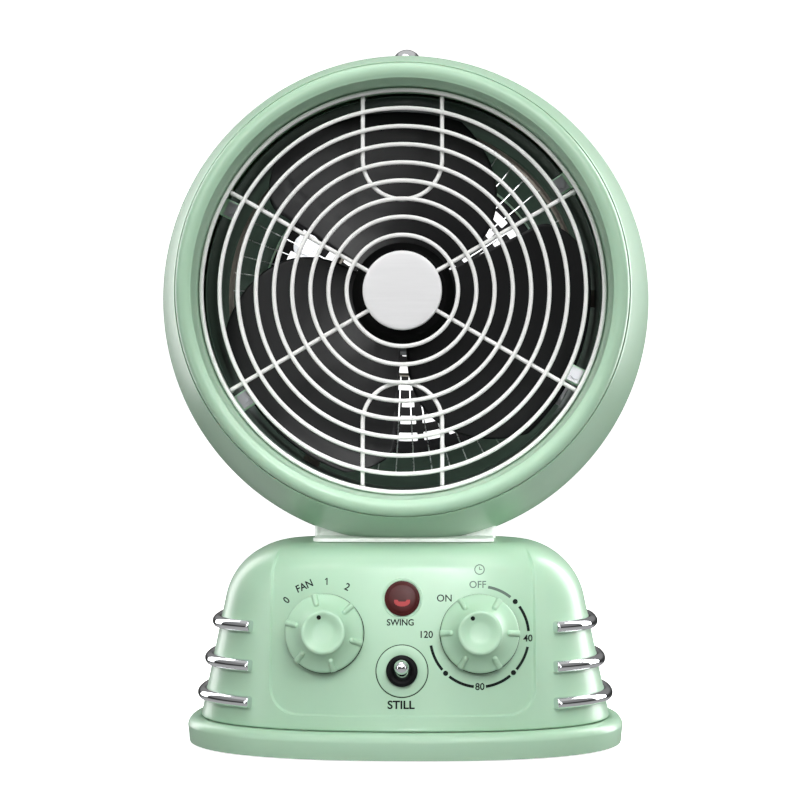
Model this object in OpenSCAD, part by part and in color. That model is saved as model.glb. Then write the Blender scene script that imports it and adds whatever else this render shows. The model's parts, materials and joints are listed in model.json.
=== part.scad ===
/* [Foot moulding] */
// Half width of the foot moulding
plinth_a = 126; // [122:0.5:130]
// Half depth of the foot moulding
plinth_b = 87; // [85:0.5:90]
// Height of its top face above the floor
plinth_h = 15; // [14:0.5:17]
// Radius of its top outer edge
plinth_edge = 5; // [3:0.5:6]
// Superellipse exponent of the plan outline near the floor
plan_low = 2.4; // [2.2:0.1:2.8]

/* [Base housing] */
// Half width of the housing where it meets the foot moulding
base_a = 118.4; // [114:0.2:119]
// Half depth of the housing where it meets the foot moulding
base_b = 78.5; // [76:0.5:79]
// Height of the flat top of the base
base_top = 116; // [112:0.5:116]
// Inward lean of the side walls in degrees
side_lean = 12; // [8:0.5:14]
// Backward lean of the control panel in degrees
front_lean = 8; // [5:0.5:10]
// Shoulder radius at the sides
side_round = 39.6; // [30:0.2:44]
// Shoulder radius at the front and back
front_round = 16; // [12:0.5:20]
// Superellipse exponent of the plan outline at the top
plan_high = 3.2; // [2.8:0.1:4]
// Wall thickness of the plastic shells
wall = 2.5; // [2:0.1:3]

/* [Controls] */
// Distance of each knob's axis from the middle
knob_x = 42.5; // [38:0.5:46]
// Height of the knobs' axes
knob_z = 67.7; // [64:0.1:72]
// Skirt radius of the knobs
knob_r = 21.5; // [18:0.5:22]
// Height of the knobs above the panel
knob_h = 14; // [12:0.5:14]
// Height of the swing switch's axis
toggle_z = 47.6; // [44:0.2:50]
// Height of the pilot lamp's axis
lamp_z = 86.7; // [84:0.2:89]
// Radius of the pilot lamp's lens
lamp_r = 10; // [8:0.5:11]
// Tilt of the swing switch's lever from the panel's normal in degrees
toggle_tilt = 8; // [5:1:10]

/* [Side trims] */
// Radius of the trim bars' rod
trim_r = 3; // [2.5:0.1:3.2]
// Heights of the three trim bars
trim_heights = [70, 48.5, 28.6];
// Distance of the bars' ends from the middle plane
trim_end_x = 85; // [80:1:90]

/* [Head] */
// Height of the fan's axis
head_z = 256.2; // [256:0.2:262]
// Largest radius of the drum
drum_r = 144.4; // [144.2:0.2:146]
// Distance of the largest radius in front of the swing axis
drum_wide = -34; // [-34:1:-28]
// Distance of the front lip ahead of the swing axis
lip_front = 82; // [80:0.5:84]
// Mean radius of the front lip's bead
bead_r = 119; // [118:0.2:119.2]
// Radius of the bead's round section
bead_round = 5.3; // [4.5:0.1:5.3]
// Radius of the rear opening
rear_open = 86; // [80:1:88]

/* [Guard] */
// Radius of the innermost wire ring
ring_first = 30.8; // [30:0.1:32]
// Step from one wire ring to the next
ring_step = 10.075; // [9.8:0.005:10.08]
// Number of wire rings
ring_count = 9; // [7:1:9]
// Radius of the guard wire
wire_r = 1.2; // [0.9:0.05:1.25]
// Distance of the ring plane ahead of the swing axis
guard_out = 65.6; // [64:0.1:67]
// Radius of the cap in the middle of the guard
cap_r = 21.9; // [20:0.1:24]
// Distance of each bracing wire's legs from the middle
brace_x = 22; // [18:0.5:24]

/* [Fan] */
// Tip radius of the blades
tip_r = 106; // [100:0.5:107]
// Radius of the fan's hub
hub_r = 29; // [26:0.5:29.5]
// Number of blades
blade_count = 3; // [2:1:3]
// Thickness of a blade
blade_t = 1.8; // [1.5:0.1:2.2]
// Radius of the motor shaft
shaft_r = 3; // [2.5:0.1:3.2]

/* [Handle] */
// Width of the handle's strap
handle_w = 15.5; // [12:0.5:16]
// Thickness of the handle's strap
handle_t = 5.5; // [4:0.5:5.5]
// Height of the handle's top
handle_top = 413; // [412:0.5:416]

/* [Hidden] */

$fn = 96;
mint = "#aedcbc";
off_white = "#e8e8e4";
steel = "#b9bdc0";
dark = "#26282b";
plan_steps = 60;           // points round each plan outline
run = 0.05;                // radial running clearance of shafts
foot_h = 2;                // thickness of the rubber feet
gear_module = 1;           // module of the swing gears
gear_teeth = 60;           // teeth on a full swivel gear
pinion_teeth = 15;         // teeth on the swing motor's pinion
gear_low = 101;            // underside of the swivel gear
gear_thick = 6;            // thickness of the swivel gear
pinion_y = gear_module * (gear_teeth + pinion_teeth) / 2;
post_r = 15;               // radius of the neck's spigot
motor_r = 31;              // radius of the fan motor's can
motor_front = 16;          // front of the motor, ahead of the swing axis
motor_back = -30;          // back of the motor can
liner_r = 110.6;           // inner radius of the steel duct
heater_out = 6;            // plane of the heater wires
drum_depth = 60;           // depth of the drum's rear dome behind its widest place
dome_n = 2.6;              // exponent of the rear dome's profile
back_out = -76;            // rear face of the drum
drum_floor = base_top + 2; // flat underside of the drum
clip_angles = [30, 150, 210, 330];
clip_turn = 4.2;           // turn of each clip from its spoke
lug_r = 106.6;             // radius of the clips' screws
lug_out = 53.1;            // front face of the bezel's lugs

// --- outlines and lofts ---

// Half size of the base at height z for a wall that leans and then rounds over
function tangent_z(lean, r, top) = top - r * (1 - sin(lean));
function half_at(z, half, lean, r, top) =
    let (zt = tangent_z(lean, r, top),
         flat = half - tan(lean) * (zt - plinth_h) - r * cos(lean))
    z <= zt ? half - tan(lean) * (z - plinth_h)
            : flat + sqrt(max(0, r * r - pow(z - top + r, 2)));
function plan_n(z) = plan_low + (plan_high - plan_low) * (z - plinth_h) / (base_top - plinth_h);
function base_ring(z, inset) = let (top = base_top - inset)
    [z, half_at(z, base_a - inset, side_lean, side_round - inset, top),
        half_at(z, base_b - inset, front_lean, front_round - inset, top), plan_n(z)];
function front_y(z) = -half_at(z, base_b, front_lean, front_round, base_top);

// One plan outline: a superellipse of half sizes a and b with exponent n
function power(v, n) = sign(v) * pow(abs(v), 2 / n);
function outline(a, b, n) = [for (i = [0 : plan_steps - 1])
    let (t = 360 * i / plan_steps) [a * power(cos(t), n), b * power(sin(t), n)]];
function ring_points(r) = [for (p = outline(r[1], r[2], r[3])) [p[0], p[1], r[0]]];

// A closed skin through rings [height, half width, half depth, exponent] that come back round
module ring_loft(rings) {
    m = len(rings);
    n = plan_steps;
    points = [for (r = rings) each ring_points(r)];
    faces = [for (j = [0 : m - 1], i = [0 : n - 1])
        let (a = j * n + i, b = j * n + (i + 1) % n,
             c = ((j + 1) % m) * n + i, d = ((j + 1) % m) * n + (i + 1) % n)
        each [[a, c, d], [a, d, b]]];
    polyhedron(points, faces);
}

// Directions square to a path at each point, carried along it from a first guess u
function heading(path, i) = let (d = path[min(i + 1, len(path) - 1)] - path[max(i - 1, 0)])
    d / norm(d);
function carried(path, u, i = 0) = i == len(path) ? [] :
    let (t = heading(path, i), w = u - (u * t) * t, n = w / norm(w))
    concat([[n, cross(t, n)]], carried(path, n, i + 1));

// A round rod of radius r along a list of points, with both ends closed
module swept_rod(path, r, start_side = [0, 0, 1], sides = 10) {
    m = len(path);
    across = carried(path, start_side);
    points = [for (i = [0 : m - 1], k = [0 : sides - 1])
        path[i] + r * (cos(360 * k / sides) * across[i][0] + sin(360 * k / sides) * across[i][1])];
    skin = [for (i = [0 : m - 2], k = [0 : sides - 1])
        let (a = i * sides + k, b = i * sides + (k + 1) % sides)
        each [[a, a + sides, b + sides], [a, b + sides, b]]];
    start = [[for (k = [0 : sides - 1]) k]];
    finish = [[for (k = [sides - 1 : -1 : 0]) (m - 1) * sides + k]];
    polyhedron(points, concat(skin, start, finish));
}

// --- local frames ---

// Front view of the head: x right, y up, z out of the front, from the fan's axis
module head_frame() translate([0, 0, head_z]) rotate([90, 0, 0]) children();

// The same at a place on the leaning control panel
module panel_frame(x, z) translate([x, front_y(z), z]) rotate([90 - front_lean, 0, 0]) children();

module tube(r_out, r_in, h) difference() {
    cylinder(r = r_out, h = h);
    translate([0, 0, -1]) cylinder(r = r_in, h = h + 2);
}

module pan_screw(head_r, shank_r, length) union() {
    cylinder(r = head_r, h = head_r * 0.7);
    translate([0, 0, -length]) cylinder(r = shank_r, h = length + 0.1);
}

// --- base ---

module plinth() color(mint) {
    inner = wall + 0.5;
    low = foot_h;
    arc = [for (t = [0 : 18 : 90]) [plinth_h - plinth_edge * (1 - sin(t)),
        plinth_a - plinth_edge * (1 - cos(t)), plinth_b - plinth_edge * (1 - cos(t)), plan_low]];
    ring_loft(concat(
        [[low, plinth_a - 1, plinth_b - 1, plan_low]],
        arc,
        [[plinth_h, base_a - 8, base_b - 8, plan_low],
         [plinth_h - wall, base_a - 8, base_b - 8, plan_low],
         [plinth_h - wall, plinth_a - plinth_edge, plinth_b - plinth_edge, plan_low],
         [low, plinth_a - 1 - inner, plinth_b - 1 - inner, plan_low]]));
}

module base_housing() color(mint) difference() {
    union() {
        base_shell();
        for (x = [-knob_x, knob_x]) panel_frame(x, knob_z)
            translate([0, 0, -5]) cylinder(r = knob_r - 2, h = 5);
    }
    for (x = [-knob_x, knob_x]) panel_frame(x, knob_z)
        translate([0, 0, -20]) cylinder(r = 5.2, h = 30);
    panel_frame(0, lamp_z) translate([0, 0, -20]) cylinder(r = lamp_r - 0.8, h = 30);
    panel_frame(0, toggle_z) translate([0, 0, -20]) cylinder(r = 7, h = 30);
    translate([0, 0, gland_z]) rotate([-90, 0, 0]) cylinder(r = 6.2, h = 100);
}

module base_shell() {
    low = plinth_h + 0.1;
    straight = [low, 38, 61];
    sweep = [for (t = [side_lean : 13 : 89]) base_top - side_round * (1 - sin(t))];
    heights = concat(straight, sweep);
    hole = 22;
    inner_sweep = [for (z = heights) z * (base_top - wall) / base_top];
    ring_loft(concat(
        [for (z = heights) base_ring(z, 0)],
        [base_ring(base_top, 0), [base_top, hole, hole, 2],
         [base_top - wall, hole, hole, 2], base_ring(base_top - wall, wall)],
        [for (i = [len(heights) - 1 : -1 : 1]) base_ring(inner_sweep[i], wall)],
        [base_ring(low, wall)]));
}

module bottom_plate() color(dark) difference() {
    translate([0, 0, foot_h]) linear_extrude(2)
        polygon(outline(plinth_a - 5.5, plinth_b - 5.5, plan_low));
    for (p = foot_places) translate([p[0], p[1], 0]) cylinder(r = 2.2, h = 9);
    translate([tip_x, tip_y, 0]) cylinder(r = 5, h = 9);
    for (i = [-4 : 4]) translate([i * 9 - 2, -12, 0]) cube([4, 24, 9]);
}

foot_places = [for (x = [-88, 88], y = [-46, 46]) [x, y]];

module rubber_feet() color(dark) for (p = foot_places) translate([p[0], p[1], 0])
    difference() {
        cylinder(r = 9, h = foot_h);
        translate([0, 0, -1]) cylinder(r = 4.5, h = 2.5);
    }

module bottom_screws() color(steel) for (p = foot_places) translate([p[0], p[1], foot_h + 2])
    pan_screw(3.6, 1.8, 2);

// The bar follows the housing's outline at its own height, part sunk in the wall
function trim_path(z, side) =
    let (ring = base_ring(z, 0), out = 1.3, a = ring[1] + out, b = ring[2] + out, n = ring[3],
         t0 = acos(pow(trim_end_x / a, n / 2)), steps = 22)
    [for (i = [0 : steps]) let (t = -t0 + 2 * t0 * i / steps)
        [side * a * power(cos(t), n), b * power(sin(t), n), z]];

module trim_bars(side) color(steel) for (z = trim_heights)
    swept_rod(trim_path(z, side), trim_r);

module trim_bars_left() trim_bars(-1);

module trim_bars_right() trim_bars(1);

module lamp_lens() color("#8f1d22") panel_frame(0, lamp_z) union() {
    translate([0, 0, 0.1]) rotate_extrude() polygon(concat([[0, 0], [lamp_r, 0], [lamp_r, 0.8]],
        [for (t = [15 : 15 : 90]) [(lamp_r - 0.6) * cos(t), 0.8 + 1.8 * sin(t)]]));
    translate([0, 0, -7]) cylinder(r = lamp_r - 1.2, h = 7.2);
}

module lamp_holder() color(dark) panel_frame(0, lamp_z) translate([0, 0, -22])
    difference() {
        cylinder(r = lamp_r - 1.5, h = 14.5);
        translate([0, 0, 3]) cylinder(r = lamp_r - 3.5, h = 20);
    }

module switch_plate() color(mint) panel_frame(0, toggle_z) translate([0, 0, 0.1])
    tube(14.4, 8.9, 0.9);

module switch_bush() color(dark) panel_frame(0, toggle_z) difference() {
    union() {
        translate([0, 0, -7]) cylinder(r = 6.8, h = 7.1);
        translate([0, 0, 0.1]) cylinder(r = 8.6, h = 2.4);
    }
    translate([0, 0, -2]) cylinder(r1 = 3.3, r2 = 5.2, h = 5);
    translate([0, 0, -8]) cylinder(r = 5, h = 6.5);
}

module toggle_switch() color("#3a3c40") panel_frame(0, toggle_z) {
    translate([-9, -6.5, -27]) cube([18, 13, 19]);
    for (y = [-4, 0, 4]) translate([-2.5, y - 0.5, -33]) cube([5, 1, 6]);
}

// A rotary control: square case, threaded bush with a bore, soldering tags
module rotary_case(size, depth) difference() {
    union() {
        translate([-size / 2, -size / 2, -7.6 - depth]) cube([size, size, depth]);
        translate([0, 0, -8.1]) cylinder(r = 5, h = 8.2);
        for (x = [-size / 3, 0, size / 3])
            translate([x - 1.5, -size / 2 + 2, -12 - depth]) cube([3, 1, 6]);
    }
    translate([0, 0, -7 - depth * 0.6]) cylinder(r = shaft_r + run, h = depth + 20);
}

module mode_switch() color("#50545a") panel_frame(-knob_x, knob_z) rotary_case(26, 15);

module timer() color("#50545a") panel_frame(knob_x, knob_z) rotary_case(30, 20);

module spindle(depth) translate([0, 0, -6 - depth * 0.5]) cylinder(r = shaft_r, h = 15 + depth * 0.5);

module mode_spindle() color(steel) panel_frame(-knob_x, knob_z) spindle(15);

module timer_spindle() color(steel) panel_frame(knob_x, knob_z) spindle(20);

// Knob with a flared skirt, six finger ridges and a dished face
module knob() {
    dish_r = 11.3;
    rim_r = 13.2;
    ridge_lean = 35;
    difference() {
        union() {
            rotate_extrude() polygon(concat(
                [[0, 0.8], [knob_r, 0.8], [knob_r, 2.6], [knob_r - 0.8, 3.8],
                 [rim_r + 1.6, knob_h - 2.4], [rim_r + 0.8, knob_h - 0.9], [rim_r - 0.3, knob_h],
                 [dish_r, knob_h - 0.4]],
                [for (t = [15 : 15 : 90]) [dish_r * cos(t), knob_h - 0.4 - 2.4 * sin(t)]]));
            for (k = [0 : 5]) rotate([0, 0, 60 * k + 45])
                translate([knob_r - 1.6, 0, 3]) rotate([0, -ridge_lean, 0])
                    cylinder(r = 1.7, h = knob_h - 3.6);
        }
        translate([0, 0, -1]) cylinder(r = shaft_r + 0.02, h = 10.4);
    }
}

module mode_knob() color(mint) panel_frame(-knob_x, knob_z) knob();

module timer_knob() color(mint) panel_frame(knob_x, knob_z) rotate([0, 0, 15]) knob();

// The lever's pivot lies on the panel's surface line, behind the bush's mouth
module toggle_lever() color(steel) panel_frame(0, toggle_z) translate([0, 0, -3.5])
    rotate([-toggle_tilt, 0, 0]) union() {
        sphere(r = 3.6);
        rotate([0, 90, 0]) cylinder(r = 1.3, h = 8.4, center = true);
        cylinder(r1 = 2.1, r2 = 2.3, h = 11);
        translate([0, 0, 12.2]) sphere(r = 4.1);
    }

gland_z = 30;

module cord_gland() color(dark) translate([0, -front_y(gland_z), gland_z]) rotate([-90, 0, 0])
    difference() {
        union() {
            translate([0, 0, -8]) cylinder(r = 6, h = 8);
            translate([0, 0, 1.4]) cylinder(r = 8.5, h = 2.6);
            translate([0, 0, -0.1]) cylinder(r = 6, h = 1.6);
        }
        translate([0, 0, -9]) cylinder(r = 3.6, h = 20);
    }

module terminal_block() color("#dadad2") translate([-64, 22, foot_h + 2]) difference() {
    cube([48, 16, 14]);
    for (i = [0 : 3]) translate([7 + i * 11.3, 8, 6]) cylinder(r = 2.6, h = 10);
}

tip_x = 60;
tip_y = 10;

module tip_switch() color("#3a3c40") translate([tip_x, tip_y, foot_h + 2.1]) difference() {
    translate([-11, -8, 0]) cube([22, 16, 26]);
    translate([0, 0, -1]) cylinder(r = 3 + run, h = 14);
    translate([0, 0, 4]) cylinder(r = 5.2, h = 17);
}

// Rests flush with the feet; a spring pushes it down when the heater is lifted
module tip_plunger() color("#e8e8e4") translate([tip_x, tip_y, 0]) union() {
    translate([0, 0, 0.02]) cylinder(r = 3, h = 14);
    translate([0, 0, 12.6]) cylinder(r = 4.6, h = 2);
}

module tip_spring() color(steel) translate([tip_x, tip_y, 14.7]) tube(3.6, 2.6, 9.9);

// --- swing drive ---

// Involute tooth flank points of a gear with base radius rb, for radii up to ra
function inv(a) = tan(a) * 180 / PI - a;
function flank(rb, r) = inv(acos(min(1, rb / r)));

// One spur gear tooth, thinned a little for backlash, pointing along +X
module tooth(teeth, thin) {
    rp = gear_module * teeth / 2;
    rb = rp * cos(20);
    root = rp - 1.15 * gear_module;
    tip = rp + 0.92 * gear_module;
    half = 90 / teeth + inv(20) - thin * 90 / (PI * rp);
    radii = [for (i = [0 : 5]) let (lo = max(rb, root)) lo + (tip - lo) * i / 5];
    left = [for (r = radii) let (t = half - flank(rb, r)) r * [cos(t), sin(t)]];
    right = [for (i = [5 : -1 : 0]) [left[i][0], -left[i][1]]];
    base = root - 0.6;
    polygon(concat([base * [cos(half), -sin(half)], base * [cos(half), sin(half)]], left, right));
}

module swivel_gear() color("#d9d9cf") translate([0, 0, gear_low]) difference() {
    union() {
        cylinder(r = gear_module * gear_teeth / 2 - 1.3, h = gear_thick);
        for (k = [-10 : 10]) rotate(90 + k * 360 / gear_teeth)
            linear_extrude(gear_thick) tooth(gear_teeth, 0.16);
    }
    translate([0, 0, -1]) cylinder(r = post_r + 0.02, h = 20);
}

module swing_pinion() color("#d9d9cf") translate([0, pinion_y, gear_low - 0.5]) union() {
    linear_extrude(gear_thick + 1) union() {
        circle(r = gear_module * pinion_teeth / 2 - 1.2);
        for (k = [0 : pinion_teeth - 1]) rotate(-90 + (k + 0.5) * 360 / pinion_teeth)
            tooth(pinion_teeth, 0.16);
    }
    translate([0, 0, -12]) cylinder(r = 2.5, h = 12.5);
}

swing_motor_top = gear_low - 3.6;

module swing_motor() color(steel) translate([0, pinion_y, swing_motor_top]) difference() {
    union() {
        translate([0, 0, -17]) cylinder(r = 22, h = 17);
        for (s = [-1, 1]) translate([s * 27, 0, -2]) cylinder(r = 6, h = 2);
        translate([-27, -4, -2]) cube([54, 8, 2]);
    }
    translate([0, 0, -11]) cylinder(r = 2.5 + run, h = 12);
    for (s = [-1, 1]) translate([s * 27, 0, -3]) cylinder(r = 2.1, h = 4);
}

module swing_bracket() color("#8f9498") translate([0, pinion_y, swing_motor_top + 0.05])
    union() {
        difference() {
            translate([-44, -14, 0]) cube([88, 28, 1.5]);
            translate([0, 0, -1]) cylinder(r = 10, h = 4);
            for (s = [-1, 1]) translate([s * 27, 0, -1]) cylinder(r = 2.1, h = 4);
        }
        for (s = [-1, 1]) translate([s * 39, 0, 1.4])
            cylinder(r = 4, h = base_top - wall - swing_motor_top - 1.5);
    }

module swing_screws() color(steel) for (s = [-1, 1])
    translate([s * 27, pinion_y, swing_motor_top + 1.6]) pan_screw(3.4, 2, 5);

module swivel_bearing() color(off_white) translate([0, 0, base_top - wall - 1]) difference() {
    union() {
        cylinder(r = 21.2, h = wall + 1.05);
        translate([0, 0, wall + 1.05]) cylinder(r = 25, h = 0.4);
    }
    translate([0, 0, -1]) cylinder(r = post_r + run, h = 9);
}

neck_low = base_top + 0.5;
neck_screw_y = [-1, 20];

// A thin plate on the base and a block behind it that cradles the drum
module neck() color(off_white) difference() {
    union() {
        translate([-51, -47, neck_low]) cube([102, 77, 1.9]);
        translate([-53, -8, neck_low]) cube([106, 38, 14]);
        translate([0, 0, gear_low - 1.6]) cylinder(r = post_r, h = neck_low - gear_low + 2);
    }
    drum_solid(60);
    translate([0, 0, gear_low - 3]) cylinder(r = 10, h = 60);
    for (y = neck_screw_y) at_neck_screws(y) translate([0, 0, -9]) cylinder(r = 1.92, h = 9);
}

// Both screw places at depth y: vertical, with the head's seat cut into the drum's floor
module at_neck_screws(y) for (x = [-46, 46])
    translate([x, y, head_z - sqrt(pow(drum_at(-y, wall), 2) - x * x) - 0.6]) children();

// Screws from inside the drum into the neck's shoulders
module neck_screws() color(steel) for (y = neck_screw_y) at_neck_screws(y)
    pan_screw(3.4, 1.9, 4.8);

// Room for a neck screw: a flat seat for its head and a hole for its shank
module neck_screw_room(y) at_neck_screws(y) union() {
    translate([0, 0, -0.02]) cylinder(r = 3.7, h = 6);
    translate([0, 0, -6]) cylinder(r = 2.1, h = 6.5);
}

module swivel_clip() color(steel) translate([0, 0, gear_low - 1.5]) tube(18, post_r + 0.02, 1.2);

// --- head ---

// Outer radius of the drum at a distance out ahead of the swing axis, inset by t
flank_round = 325;
function drum_at(out, t) = out >= drum_wide
    ? drum_r - flank_round + sqrt(pow(flank_round - t, 2) - pow(out - drum_wide, 2))
    : (drum_r - t) * pow(1 - pow((drum_wide - out) / (drum_depth - t), dome_n), 1 / dome_n);

// Everything below a height
module below(z) translate([-200, -200, z - 200]) cube([400, 400, 200]);

// The drum's outside behind the plane out = front, for cutting what stands on it
module drum_solid(front) difference() {
    head_frame() rotate_extrude() polygon(concat(
        [[0, front]],
        [for (i = [0 : 40]) let (o = front + (back_out - front) * i / 40) [drum_at(o, 0) + 0.1, o]],
        [[drum_at(back_out, 0), back_out - 40], [0, back_out - 40]]));
    below(drum_floor - 0.1);
}

// A hollow part of the drum: its outline and its cavity turned round the axis, flat underneath
module drum_part() difference() {
    head_frame() rotate_extrude() children(0);
    below(drum_floor);
    difference() {
        head_frame() rotate_extrude() children(1);
        below(drum_floor + wall);
    }
}

module front_bezel() color(mint) head_frame() difference() {
    mid = lip_front - bead_round;
    back = mid - 3;
    union() {
        rotate_extrude() polygon(concat(
            [for (t = [0 : 12 : 180]) [bead_r + bead_round * cos(t), mid + bead_round * sin(t)]],
            [[liner_r + 2, lug_out - 3.5], [liner_r + 4, lug_out - 3.5], [liner_r + 5.1, back],
             [bead_r + bead_round, back]]));
        for (a = clip_angles) rotate(a + clip_turn)
            translate([lug_r - 4, -5, lug_out - 3.5]) cube([liner_r + 3 - lug_r + 4, 10, 3.5]);
    }
    for (a = clip_angles) rotate(a + clip_turn)
        translate([lug_r, 0, lug_out - 6]) cylinder(r = 1.25, h = 9);
}

part_out = -9;             // parting line between the drum's two halves

module drum_front() color(mint) difference() {
    mid = lip_front - bead_round;
    edge = bead_r + bead_round + 0.3;
    front = mid - 0.3;
    drum_part() {
        polygon(concat([[0, front]],
            [for (i = [0 : 14]) let (o = front + (part_out - front) * i / 14) [drum_at(o, 0), o]],
            [[0, part_out]]));
        polygon(concat([[0, part_out - 1], [drum_at(part_out, wall), part_out - 1]],
            [for (i = [0 : 12]) let (o = part_out + (68 - part_out) * i / 12) [drum_at(o, wall), o]],
            [[117.5, 71], [117.5, mid - 3.3], [edge, mid - 3.3], [edge, front + 1], [0, front + 1]]));
    }
    neck_screw_room(neck_screw_y[0]);
}

module drum_rear() color(mint) difference() {
    start = part_out - 0.4;
    stop = back_out;
    drum_part() {
        polygon(concat([[0, start]],
            [for (i = [0 : 28]) let (o = start + (stop - start) * sin(90 * i / 28)) [drum_at(o, 0), o]],
            [[0, stop]]));
        polygon(concat([[0, start + 1], [drum_at(start, wall), start + 1]],
            [for (i = [0 : 28]) let (o = start + (stop + 3 - start) * sin(90 * i / 28))
                [drum_at(o, wall), o]],
            [[rear_open, stop + 3], [rear_open, stop - 1], [0, stop - 1]]));
    }
    neck_screw_room(neck_screw_y[1]);
    for (y = handle_screw_y) on_crown(y) union() {
        translate([0, 0, -6]) cylinder(r = 2.1, h = 9);
        translate([0, 0, -wall - 6]) cylinder(r = 3.7, h = 5.87);
    }
}

module duct_liner() color("#777c80") head_frame() translate([0, 0, -38]) tube(liner_r + 0.8, liner_r, 86);

// Flat plate behind the drum's rear opening, with rows of slots between radial ribs
module rear_grille() color(dark) head_frame() translate([0, 0, back_out + 3.1])
    linear_extrude(2.6) difference() {
        circle(r = rear_open + 4);
        for (row = [0 : 5]) let (r = 26 + row * 9.8, n = row < 3 ? 16 : 32)
            for (k = [0 : n - 1]) rotate(360 * k / n) slot(r, PI * r / n - 1.6);
    }

module slot(r, half) {
    translate([r - 3, -half]) square([6, 2 * half]);
}

module guard_rings() color(off_white) head_frame() for (k = [0 : ring_count - 1])
    translate([0, 0, guard_out]) rotate_extrude() translate([ring_first + k * ring_step, 0])
        circle(r = wire_r);

spoke_out = guard_out - 2 * wire_r - 0.02;
spoke_end = ring_first + (ring_count - 1) * ring_step - 1.2;
bend_r = 2.5;

// A wire from the start radius outwards, then bent back towards the bezel's wall
module hooked_wire(start, finish) translate([0, 0, spoke_out]) union() {
    translate([start, 0, 0]) rotate([0, 90, 0]) cylinder(r = wire_r, h = finish - bend_r - start);
    translate([finish - bend_r, 0, -bend_r]) rotate([90, 0, 0]) rotate_extrude(angle = 90)
        translate([bend_r, 0]) circle(r = wire_r);
    translate([finish, 0, -9]) cylinder(r = wire_r, h = 9 - bend_r);
}

module guard_spokes() color(off_white) head_frame() {
    for (a = [30, 150, 210, 330]) rotate(a) hooked_wire(7, spoke_end);
    for (s = [90, -90]) rotate(s) brace();
}

// A U of wire: its bend faces the hub and both legs hook back at the rim
module brace() {
    middle = ring_first + 2 * ring_step + brace_x;
    leg_end = sqrt(pow(spoke_end, 2) - pow(brace_x, 2));
    leg = concat([[leg_end, brace_x, spoke_out - 9], [leg_end, brace_x, spoke_out - bend_r]],
        [for (t = [18 : 18 : 90]) [leg_end - bend_r * (1 - cos(t)), brace_x,
            spoke_out - bend_r * (1 - sin(t))]], [[middle, brace_x, spoke_out]]);
    turn = [for (t = [9 : 9 : 171])
        [middle - brace_x * sin(t), brace_x * cos(t), spoke_out]];
    back = [for (i = [len(leg) - 1 : -1 : 0]) [leg[i][0], -leg[i][1], leg[i][2]]];
    swept_rod(concat(leg, turn, back), wire_r, [0, 1, 0]);
}

module guard_hub_plate() color(steel) head_frame()
    translate([0, 0, spoke_out - wire_r - 0.85]) cylinder(r = 18, h = 0.8);

module guard_cap() color("#cfd2d4") head_frame() translate([0, 0, spoke_out + wire_r + 0.05])
    rotate_extrude() polygon([[0, 0], [cap_r, 0], [cap_r, 3.2], [cap_r - 0.6, 3.8], [0, 4.2]]);

// Small steel saddles on the bezel's lugs, beside the guard's hooked ends
module guard_clips() color(steel) head_frame() for (a = clip_angles) rotate(a + clip_turn)
    translate([lug_r, 0, lug_out + 0.05]) difference() {
        translate([-3.4, -4, 0]) cube([6.8, 8, 1.2]);
        translate([0, 0, -1]) cylinder(r = 1.3, h = 4);
    }

module guard_screws() color(steel) head_frame() for (a = clip_angles) rotate(a + clip_turn)
    translate([lug_r, 0, lug_out + 1.3]) pan_screw(2.3, 1.2, 3.4);

module motor() color("#84888c") head_frame() difference() {
    union() {
        translate([0, 0, motor_back]) cylinder(r = motor_r, h = motor_front - motor_back - 4);
        translate([0, 0, motor_front - 4]) cylinder(r1 = motor_r, r2 = 22, h = 4);
    }
    translate([0, 0, motor_back + 4]) cylinder(r = shaft_r + run, h = 60);
}

module motor_end_bell() color("#84888c") head_frame() translate([0, 0, motor_back - 8.1])
    difference() {
        cylinder(r1 = 24, r2 = motor_r, h = 8);
        translate([0, 0, 4]) cylinder(r = shaft_r + 1, h = 9);
    }

bracket_angles = [90, 210, 330];

module motor_bracket() color("#8f9498") head_frame() translate([0, 0, motor_back - 10.2])
    linear_extrude(2) difference() {
        union() {
            circle(r = 30);
            for (a = bracket_angles) rotate(a) translate([0, -7]) square([liner_r - 0.2, 14]);
        }
        circle(r = 14);
        for (a = bracket_angles) rotate(a + 60) translate([20, 0]) circle(r = 2.1);
    }

module motor_screws() color(steel) head_frame() for (a = bracket_angles) rotate(a + 60)
    translate([20, 0, motor_back - 10.3]) rotate([180, 0, 0]) pan_screw(3.6, 2, 2.1);

wire_in = 45;
wire_out = 101;
board_angles = [for (k = [0 : 5]) 60 * k + 15];

// Mica cross boards between an inner and an outer band
module heater_frame() color("#8e8b84") head_frame() translate([0, 0, heater_out - 7])
    union() {
        tube(wire_in, wire_in - 1.5, 14);
        tube(wire_out + 1.5, wire_out, 14);
        for (a = board_angles) rotate(a) translate([wire_in - 0.7, -0.8, 0])
            cube([wire_out - wire_in + 1.4, 1.6, 14]);
        for (a = bracket_angles) rotate(a + 30) translate([wire_out + 1.2, -5, 6])
            cube([liner_r - wire_out - 1.3, 10, 1.5]);
    }

module heater_wires() color("#c9ccce") head_frame() for (a = board_angles, k = [1 : 9])
    rotate(a + k * 6) translate([wire_in + 0.05, 0, heater_out]) rotate([0, 90, 0])
        cylinder(r = 0.35, h = wire_out - wire_in - 0.1);

module thermostat() color("#5d6166") head_frame() rotate(bracket_angles[0] + 60) union() {
    translate([70, 0, motor_back - 8]) cylinder(r = 8, h = 6);
    translate([70, 0, motor_back - 2.1]) cylinder(r = 5, h = 4);
}

// --- handle ---

handle_front = 29;         // inner face of the front leg behind the swing axis
handle_back = 55;          // inner face of the rear leg
handle_screw_y = [handle_front - handle_t / 2, handle_back + handle_t / 2];

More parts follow.
